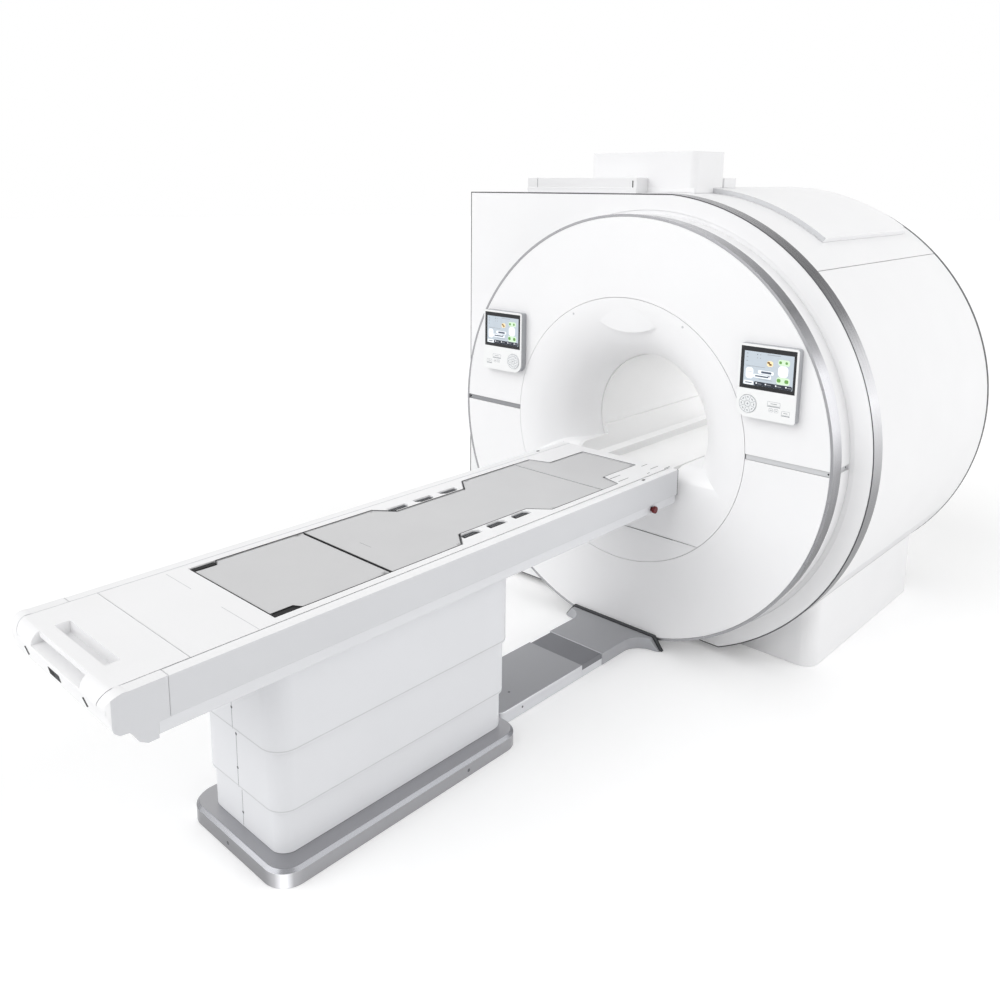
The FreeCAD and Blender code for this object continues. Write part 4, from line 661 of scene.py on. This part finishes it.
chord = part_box("funnel_lower_panel")[1].z + 0.0006
mesh = bmesh.new()
place = frame_at((0.18, face_y, chord), (0, -1, 0))
tile(mesh, place, 0.262, 0.0024, 0.0003, x=0.004)
tile(mesh, place, 0.882, 0.0012, 0.0002, x=-0.18, finish=1)
finished("chord_seam", mesh, [DARK_JOINT_AND_PAINTED_SHADOW, SEAM], "gantry")

# %% [markdown]
# Each column cover has an upright seam down its front, with screws beside it at two heights. It is
# written as (cover, bottom, top, heights). The two upper covers have a faint band of painted shade at
# their foot.

# %% Screws and seams of the column and the base
column_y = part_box("column_upper_cover")[0].y
for cover, bottom, top, heights in (("column_lower_cover", 0.072, 0.316, (0.216, 0.121)),
                                    ("column_middle_cover", 0.226, 0.54, (0.426, 0.299)),
                                    ("column_upper_cover", 0.452, 0.76, (0.531, 0.64))):
    middle = (bottom + top) / 2
    mesh = bmesh.new()
    place = from_front(cover, -0.008, column_y, middle)
    tile(mesh, place, 0.0022, top - bottom, 0.0003, finish=2)
    for height in heights:
        screw(mesh, place, 0.004, y=height - middle)
    finished(cover + "_seam", mesh, [SCREW, DARK_JOINT_AND_PAINTED_SHADOW, SEAM], BODY_OF[cover])
# Painted shade: a faint band at the foot of the two upper column covers.
for cover, height in (("column_middle_cover", 0.2285), ("column_upper_cover", 0.4545)):
    seam_band(cover + "_painted_shading", cover, (0, 0, height), (0, 0, 1), (0, 0, 0.004), PALE_SEAM_AND_PAINTED_SHADE)

mesh = bmesh.new()
screw(mesh, from_front("base_plate", -0.02, column_y, 0.026), 0.005)
screw(mesh, place_on("base_plate", (1, -2.3, 0.026), (-1, 0, 0)), 0.005)
finished("base_screws", mesh, [SCREW, DARK_JOINT_AND_PAINTED_SHADOW], "gantry")
mesh = bmesh.new()
screw(mesh, place_on("floor_bridge", (1, face_y - 0.901, 0.034), (-1, 0, 0)), 0.004)
screw(mesh, from_above("floor_bridge", 0.069, face_y - 0.887, 1), 0.004)
finished("bridge_screws", mesh, [SCREW, DARK_JOINT_AND_PAINTED_SHADOW], "gantry")
bridge_low, bridge_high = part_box("floor_bridge")
bridge_middle = (bridge_low.y + bridge_high.y + 0.044) / 2
# Painted highlight: a bright line along the top of each side of the floor bridge.
mesh = bmesh.new()
for side in (-1, 1):
    place = frame_at((side * bridge_high.x, bridge_middle, bridge_high.z - 0.004), (side, 0, 0))
    tile(mesh, place, bridge_high.y - bridge_low.y - 0.05, 0.003, 0.0002)
finished("bridge_edge_painted_highlights", mesh, BRIDGE_EDGE_PAINTED_HIGHLIGHT, "gantry")

# %% [markdown]
# A seam that goes round a moulding is cut from it by a plane, and parts of it can be left out. The
# marks on the cradle are thin tiles, written as (x, place from the disc face, length or width).

# %% Seams and marks of the table
rail_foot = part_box("side_rails")[0].y
cradle_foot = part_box("cradle_board")[0].y
for name, node, start, width, material, raised, keep in (
        ("rail_foot_seams", "side_rails", rail_foot + 0.001, 0.0016, PALE_SEAM_AND_PAINTED_SHADE, 0.0005,
         lambda point: abs(point.x) > 0.3),
        ("rail_head_seams", "side_rails", face_y - 0.024, 0.003, DARK_JOINT_AND_PAINTED_SHADOW, 0.0005,
         lambda point: abs(point.x) > 0.336 or point.z < 0.83),
        ("frame_foot_seam", "table_frame", rail_foot - 0.03, 0.002, PALE_SEAM_AND_PAINTED_SHADE, 0.0005,
         lambda point: abs(point.x) > 0.3),
        ("cradle_foot_seam", "cradle_board", cradle_foot + 0.001, 0.0016, PALE_SEAM_AND_PAINTED_SHADE, 0.0003,
         lambda point: point.z > 0.94)):
    seam_band(name, node, (0, start, 0), (0, 1, 0), (0, width, 0), material, raised, keep)
cradle_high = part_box("cradle_board")[1]
mesh = bmesh.new()
place = frame_at((0, cradle_foot, cradle_high.z - 0.0012), (0, 0, 1), (0, 1, 0))
tile(mesh, place, 2 * cradle_high.x - 0.012, 0.006)
finished("cradle_joint", mesh, FINISH["cradle_white"], "cradle")

mesh = bmesh.new()
for x, y in ((0.313, face_y - 0.269), (-0.318, face_y - 0.251)):
    tile(mesh, from_above("side_rails", x, y), 0.012, 0.02, 0.0005, 0.005, 16)
finished("rail_dots", mesh, BLACK_GAP, "table")

mesh = bmesh.new()
for x, y, length in ((0.192, -0.08, 0.048), (0.245, -0.078, 0.064), (0.2865, -0.0335, 0.046),
                     (0.197, -0.323, 0.08), (0.247, -0.329, 0.076), (0.272, -0.168, 0.02)):
    tile(mesh, from_above("cradle_board", x, face_y + y), 0.003, length, 0.0003)
for x, y, width in ((0.185, -2.27, 0.21), (-0.1875, -2.27, 0.165)):
    tile(mesh, from_above("cradle_board", x, face_y + y), width, 0.0022, 0.0003, finish=1)
finished("cradle_dashes", mesh, [DARK_JOINT_AND_PAINTED_SHADOW, PALE_SEAM_AND_PAINTED_SHADE], "cradle")

CAP_SLOT_HEIGHT = 0.868
mesh = bmesh.new()
for x, width, height, lean in ((-0.222, 0.016, 0.03, 0.5), (0.182, 0.016, 0.03, 0.5),
                               (-0.021, 0.078, 0.026, 0)):
    place = from_front("table_end_cap", x, rail_foot, CAP_SLOT_HEIGHT) @ Matrix.Rotation(lean, 4, "Z")
    tile(mesh, place, width, height, 0.0006, 0.003)
    if width > height:
        tile(mesh, place, width * 0.45, height * 0.6, 0.001, 0.002, x=-0.016, finish=1)
finished("end_cap_slots", mesh, [DARK_JOINT_AND_PAINTED_SHADOW, BLACK_GAP], "table")

# %% [markdown]
# ### Coil sockets
# Six sockets for patient coils lie in pockets of the cradle, three on each side. Each gets a black
# mouth and a row of metal contacts. A line straight down onto the CAD socket finds its surface.

# %% Coil sockets
SOCKET_X, SOCKET_FOOT, SOCKET_PITCH = 0.205, -2.207, 0.145
CONTACTS, CONTACT_PITCH = 6, 0.01
mesh = bmesh.new()
for x in (-SOCKET_X, SOCKET_X):
    for row in range(3):
        place = from_above("coil_sockets", x, SOCKET_FOOT + SOCKET_PITCH * row)
        tile(mesh, place, 0.02, 0.07, 0.0012, 0.004, 16)
        for step in range(CONTACTS):
            along = (step - (CONTACTS - 1) / 2) * CONTACT_PITCH
            tile(mesh, place, 0.012, 0.004, 0.0016, 0.001, y=along, finish=1)
finished("socket_contacts", mesh, [BLACK_GAP, SCREW], "cradle")

# %% [markdown]
# ### Mats
# The table carries three foam mats in welded vinyl: a foot mat with strap notches, a body mat that
# narrows beside the sockets, and a head mat. A cushion is never a block, so each is cut into a
# lattice, pulled in a little and blown up by a short cloth simulation with pressure, then held
# back to the space its CAD solid has. Without the simulation it keeps the plain lattice.

# %% Mats: the cushions
MAT_SIDE = moulded("dark mat side", (44, 45, 48), roughness=0.6)
CLOTH_FRAMES = 20


def lattice(mesh, spacing):
    """Cut a mesh into a lattice by planes across x and y."""
    for axis in (Vector((1, 0, 0)), Vector((0, 1, 0))):
        places = [vert.co.dot(axis) for vert in mesh.verts]
        count = round((max(places) - min(places)) / spacing)
        for step in range(1, count):
            plane = axis * (min(places) + (max(places) - min(places)) * step / count)
            bmesh.ops.bisect_plane(mesh, geom=mesh.verts[:] + mesh.edges[:] + mesh.faces[:], dist=1e-5,
                                   plane_co=plane, plane_no=axis)


def cushion(node, spacing=0.024, inset=0.0012, reach=0.0022):
    """Foam mat that swells out of its CAD solid's faces, but no further than the solid reaches."""
    low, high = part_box(node)
    mesh = merged(node)
    lattice(mesh, spacing)
    mesh.normal_update()
    for vert in mesh.verts:
        vert.co -= vert.normal * inset
    piece = new_piece(node + "_cushion", mesh, [FINISH["mat_grey"]], "cradle")
    start = [vert.co.copy() for vert in piece.data.vertices]
    cloth = piece.modifiers.new("cloth", "CLOTH")
    cloth.settings.quality = 4
    cloth.settings.mass = 0.3
    cloth.settings.tension_stiffness = cloth.settings.compression_stiffness = 40
    cloth.settings.use_pressure = True
    cloth.settings.uniform_pressure_force = 4
    cloth.settings.effector_weights.gravity = 0
    for step in range(1, CLOTH_FRAMES + 1):
        bpy.context.scene.frame_set(step)
    swollen = piece.evaluated_get(bpy.context.evaluated_depsgraph_get()).to_mesh()
    moved = [vert.co.copy() for vert in swollen.vertices]
    piece.evaluated_get(bpy.context.evaluated_depsgraph_get()).to_mesh_clear()
    piece.modifiers.remove(cloth)
    bpy.context.scene.frame_set(1)
    for vert, before, after in zip(piece.data.vertices, start, moved):
        shift = after - before
        vert.co = before + shift * min(1, reach / max(shift.length, 1e-9))
        for axis in range(3):
            vert.co[axis] = min(max(vert.co[axis], low[axis]), high[axis])
    paint(piece, MAT_SIDE, lambda normal, centre: abs(normal.z) < 0.3)
    smooth(piece, 40)
    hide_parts(node)
    top = max(vert.co.z for vert in piece.data.vertices)
    print(node, len(piece.data.vertices), "points, top at", round(top, 4))


for node in ("foot_mat", "body_mat", "head_mat"):
    cushion(node)

# %% [markdown]
# A band of painted shadow shows round each mat where it meets its recess, black round the foot mat and
# paler round the others. It is cut from the mat's own CAD solid and lifted to the top, but for the
# joint between body and head mat, which is a pale tile. Two slots for straps lie beside the foot mat,
# filled with painted shadow, and one crease crosses the body mat.

# %% Mats: dark gaps and strap slots
mat_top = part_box("foot_mat")[1].z
head_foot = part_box("head_mat")[0].y
# Painted shadow: a dark band fills the top of the gap round each mat.
for node, material, thick in (("foot_mat", BLACK_GAP, 0.0036), ("body_mat", DARK_JOINT_AND_PAINTED_SHADOW, 0.0024),
                              ("head_mat", SEAM, 0.0015)):
    low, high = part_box(node)
    middle = (low.z + high.z) / 2
    band = seam_band(node + "_recess_in_painted_shadow", node, (0, 0, middle), (0, 0, 1), (0, 0, 0.0016), material, thick,
                     keep=lambda point: abs(point.y - head_foot) > 0.01)
    band.data.transform(Matrix.Translation((0, 0, mat_top - 0.0004 - middle)))
mat_joint = (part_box("body_mat")[1].y + head_foot) / 2
mesh = bmesh.new()
tile(mesh, frame_at((0, mat_joint, mat_top - 0.0012), (0, 0, 1), (0, 1, 0)), 0.506, 0.0056)
finished("head_mat_joint", mesh, PALE_SEAM_AND_PAINTED_SHADE, "cradle")
foot_low, foot_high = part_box("foot_mat")
# Painted shadow: black tiles fill the strap slots.
mesh = bmesh.new()
for side in (-1, 1):
    corner = (side * (foot_high.x - 0.0135), foot_low.y + 0.047, mat_top - 0.006)
    tile(mesh, frame_at(corner, (0, 0, 1), (0, 1, 0)), 0.026, 0.09, 0.004)
finished("foot_strap_slots", mesh, BLACK_GAP, "cradle")
mesh = bmesh.new()
tile(mesh, from_above("body_mat", 0.007, face_y - 1.627), 0.066, 0.0016, 0.0002)
finished("body_mat_crease", mesh, SEAM, "cradle")

# %% [markdown]
# ### Control panels
# A panel on each side of the bore has a screen and keys. The screen's fields, blocks and dark tool
# bar stand where the photograph's screen has them, as plain shapes in about its colours. They are
# thin tiles with a glow, so that they stay sharp at any distance. Each row of the table is (x, y,
# width, height, finish), from the middle of the screen.

# %% Control panels: screens
PALE_BLUE = moulded("screen pale blue", (190, 200, 209), roughness=0.3, glow=0.12)
SCREEN_WHITE = moulded("screen white", (238, 242, 246), roughness=0.3, glow=0.2)
SCREEN_GREEN = moulded("screen green", (98, 152, 70), roughness=0.3, glow=0.2)
SCREEN_MIST = moulded("screen pale green", (205, 228, 200), roughness=0.3, glow=0.2)
SCREEN_ORANGE = moulded("screen orange", (248, 226, 178), roughness=0.3, glow=0.2)
SCREEN_BROWN = moulded("screen brown", (130, 88, 56), roughness=0.3, glow=0.3)
SCREEN_BAR = moulded("screen slate", (70, 80, 98), roughness=0.3, glow=0.25)
SCREEN_BASE = moulded("screen dark bar", (30, 38, 52), roughness=0.3)
KEY_LINE = moulded("key print", (160, 163, 169), roughness=0.5)
KEY_DARK = moulded("dark key print", (120, 124, 131), roughness=0.5)
SCREEN_FINISHES = [PALE_BLUE, SCREEN_WHITE, SCREEN_GREEN, SCREEN_MIST, SCREEN_ORANGE, SCREEN_BROWN,
                   SCREEN_BAR, SCREEN_BASE, KEY_LINE]
BLUE, WHITE, GREEN, MIST, ORANGE, BROWN, BAR, BASE, LINE = range(9)
SCREEN_TILES = (
    (-0.098, 0.062, 0.008, 0.003, LINE), (-0.098, 0.047, 0.008, 0.003, LINE),
    (-0.098, 0.030, 0.008, 0.003, LINE), (-0.052, 0.062, 0.004, 0.004, BAR),
    (-0.038, 0.062, 0.004, 0.004, LINE), (-0.052, 0.047, 0.004, 0.004, LINE),
    (-0.038, 0.047, 0.004, 0.004, LINE), (0.022, 0.066, 0.06, 0.0025, LINE),
    (-0.06, 0.009, 0.09, 0.0016, LINE), (0.006, 0.028, 0.028, 0.024, ORANGE),
    (0.0, 0.032, 0.012, 0.008, BROWN), (0.008, 0.025, 0.012, 0.008, BROWN),
    (-0.084, -0.022, 0.036, 0.05, WHITE), (-0.084, -0.016, 0.022, 0.0016, LINE),
    (-0.010, -0.012, 0.072, 0.016, WHITE), (-0.008, -0.012, 0.046, 0.009, BAR),
    (-0.026, -0.031, 0.082, 0.016, WHITE), (-0.028, -0.031, 0.06, 0.006, BAR),
    (0.004, -0.027, 0.01, 0.004, BAR), (-0.01, -0.044, 0.06, 0.0016, LINE),
    (0.068, 0.04, 0.052, 0.026, MIST), (0.068, -0.038, 0.06, 0.032, MIST),
    (0.066, 0.002, 0.046, 0.05, WHITE), (0.052, 0.04, 0.012, 0.012, GREEN),
    (0.079, 0.04, 0.011, 0.011, GREEN), (0.049, -0.037, 0.017, 0.016, GREEN),
    (0.083, -0.038, 0.017, 0.016, GREEN), (0.024, -0.064, 0.171, 0.018, BASE),
    (-0.086, -0.064, 0.046, 0.018, WHITE), (-0.086, -0.064, 0.03, 0.004, BAR))
GLASS_WIDTH, SCREEN_HEIGHT = 0.249, 1.477
glass_low, glass_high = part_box("panel_screens")
for name, centre in (("left_display", glass_low.x + GLASS_WIDTH / 2),
                     ("right_display", glass_high.x - GLASS_WIDTH / 2)):
    mesh = bmesh.new()
    place = frame_at((centre + 0.0025, glass_low.y, SCREEN_HEIGHT), (0, -1, 0))
    tile(mesh, place, 0.222, 0.146, 0.0002, 0.002, finish=BLUE)
    for x, y, width, height, finish in SCREEN_TILES:
        raised = 0.0004 if finish in (WHITE, MIST, BASE) else 0.0005
        tile(mesh, place, width, height, raised, min(width, height) / 2.6, x=x, y=y, finish=finish)
    for x in (-0.05, -0.008, 0.038, 0.083):
        dot(mesh, place, 0.0035, 0.0006, x=x, y=-0.062, finish=WHITE)
        tile(mesh, place, 0.018, 0.0025, 0.0006, x=x + 0.015, y=-0.064, finish=LINE)
    finished(name, mesh, SCREEN_FINISHES, "gantry")

# %% [markdown]
# The round pad is a ring of eight printed keys round a middle key, and both press in, so each print
# rides on its own pad. The print below them is on the panel and mirrored for the left one.

# %% Control panels: keys
PRINT = 0.0003
for side, word in ((-1, "left"), (1, "right")):
    pad_low, pad_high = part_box(word + "_ring_pad")
    middle = (pad_low + pad_high) / 2
    place = frame_at((middle.x, pad_low.y, middle.z), (0, -1, 0))
    radius = (pad_high.x - pad_low.x) / 2
    outer = (2 * radius - 0.001, 2 * radius - 0.001, radius - 0.0006)
    inner = (2 * radius - 0.004, 2 * radius - 0.004, radius - 0.0021)
    mesh = bmesh.new()
    ring(mesh, place, outer, inner, PRINT, 64)
    for step in range(8):
        spoke = place @ Matrix.Rotation(math.pi / 8 + step * math.pi / 4, 4, "Z")
        tile(mesh, spoke, radius - 0.02, 0.0016, PRINT, 0.0004, x=(radius + 0.0155) / 2)
        mark = place @ Matrix.Rotation(step * math.pi / 4, 4, "Z")
        tile(mesh, mark, 0.003, 0.009, PRINT, 0.001, x=radius - 0.011, finish=1)
    finished(word + "_ring_print", mesh, [KEY_LINE, KEY_DARK], word + "_ring")
    mesh = bmesh.new()
    key_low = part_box(word + "_centre_key")[0]
    place = frame_at((middle.x, key_low.y, middle.z), (0, -1, 0))
    ring(mesh, place, (0.027, 0.027, 0.0134), (0.0245, 0.0245, 0.0122), PRINT, 48)
    for width, height in ((0.009, 0.002), (0.002, 0.009)):
        tile(mesh, place, width, height, PRINT, finish=1)
    finished(word + "_key_print", mesh, [KEY_LINE, KEY_DARK], word + "_key")
    mesh = bmesh.new()
    place = frame_at((middle.x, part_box("panel_fascias")[0].y, middle.z), (0, -1, 0))
    for x, y, width, height in ((0.118, 0.016, 0.058, 0.018), (0.106, -0.012, 0.018, 0.016),
                                (0.130, -0.012, 0.018, 0.016), (0.172, -0.016, 0.036, 0.018)):
        inside = (width - 0.0022, height - 0.0022, 0.003)
        ring(mesh, place, (width, height, 0.004), inside, PRINT, 24, x=side * x, y=y)
        tile(mesh, place, width * 0.5, 0.002, PRINT, x=side * x, y=y, finish=1)
    for x, y, width in ((0.118, 0.004, 0.058), (0.172, -0.028, 0.038)):
        tile(mesh, place, width, 0.0026, PRINT, x=side * x, y=y, finish=1)
    finished(word + "_panel_print", mesh, [KEY_LINE, KEY_DARK], "gantry")

# %% [markdown]
# ## Floor, world and lamps
# Product photographs like this are lit by big soft boxes over a white sweep. A pale floor keeps
# the shadow. The world is plain white to the camera and to reflections, and gives a weaker, even
# light to the object. Two wide suns stand for the soft boxes, one large lamp for the light behind
# the right side, and two hidden lamps for those inside the bore.

# %% Floor, world and lamps
WORLD_LEVEL, FLOOR_GLOW = 0.635, 0.2


def seen_directly(tree):
    """1 for rays from the camera, from mirrors and through glass, and 0 for light that bounces."""
    ray = add(tree, "ShaderNodeLightPath").outputs
    seen = maths(tree, "MAXIMUM", ray["Is Camera Ray"], ray["Is Glossy Ray"])
    return maths(tree, "MAXIMUM", seen, ray["Is Transmission Ray"])


floor_mesh = bmesh.new()
bmesh.ops.create_circle(floor_mesh, cap_ends=True, segments=96, radius=60)
floor_data = bpy.data.meshes.new("floor")
floor_mesh.to_mesh(floor_data)
floor_mesh.free()
floor = bpy.data.objects.new("floor", floor_data)
bpy.context.scene.collection.objects.link(floor)
floor.location.z = -0.001
floor_material = bpy.data.materials.new("pale floor")
floor_material.use_nodes = True
tree = floor_material.node_tree
shader = tree.nodes["Principled BSDF"]
shader.inputs["Base Color"].default_value = (0.88, 0.88, 0.88, 1)
shader.inputs["Roughness"].default_value = 0.8
shader.inputs["Specular IOR Level"].default_value = 0.1
glow = maths(tree, "MULTIPLY", seen_directly(tree), FLOOR_GLOW)
tree.links.new(glow, shader.inputs["Emission Strength"])
shader.inputs["Emission Color"].default_value = (1, 1, 1, 1)
floor_data.materials.append(floor_material)

world = bpy.data.worlds.new("studio")
bpy.context.scene.world = world
world.use_nodes = True
tree = world.node_tree
background = tree.nodes["Background"]
level = maths(tree, "MULTIPLY", seen_directly(tree), 1 - WORLD_LEVEL)
level = maths(tree, "ADD", level, WORLD_LEVEL)
tree.links.new(level, background.inputs["Strength"])
background.inputs["Color"].default_value = (1, 1, 1, 1)


def sun(name, towards, level, softness):
    """Light from a wide patch of sky; level is what it adds to a white face that looks at it."""
    data = bpy.data.lights.new(name, "SUN")
    data.energy = level * math.pi
    data.angle = math.radians(softness)
    item = bpy.data.objects.new(name, data)
    item.rotation_euler = Vector(towards).to_track_quat("Z", "Y").to_euler()
    bpy.context.scene.collection.objects.link(item)


def soft_box(name, place, aim, width, height, level):
    """Lamp that the camera doesn't see; level is what it adds to a white face at its aim."""
    data = bpy.data.lights.new(name, "AREA")
    data.shape = "RECTANGLE"
    data.size, data.size_y = width, height
    away = Vector(place) - Vector(aim)
    data.energy = level * math.pi ** 2 * away.length ** 2
    item = bpy.data.objects.new(name, data)
    item.location = place
    item.rotation_euler = away.to_track_quat("Z", "Y").to_euler()
    item.visible_camera = False
    item.visible_glossy = False
    bpy.context.scene.collection.objects.link(item)


sun("key", (-0.28, -0.8, 0.55), 0.46, 60)
sun("fill", (0.83, 0.35, 0.4), 0.24, 60)
soft_box("barrel light", (4.6, 1.2, 2.8), (1.05, -0.4, 1.3), 2.4, 2.4, 0.1)
soft_box("bore light", (0, -0.15, axis_z + 0.27), (0, -0.15, axis_z - 0.1), 0.3, 0.9, 0.75)
soft_box("bore back light", (0, 0.75, axis_z + 0.1), (0, 0.2, axis_z), 0.4, 0.3, 0.4)
bpy.context.scene.view_settings.view_transform = "Standard"
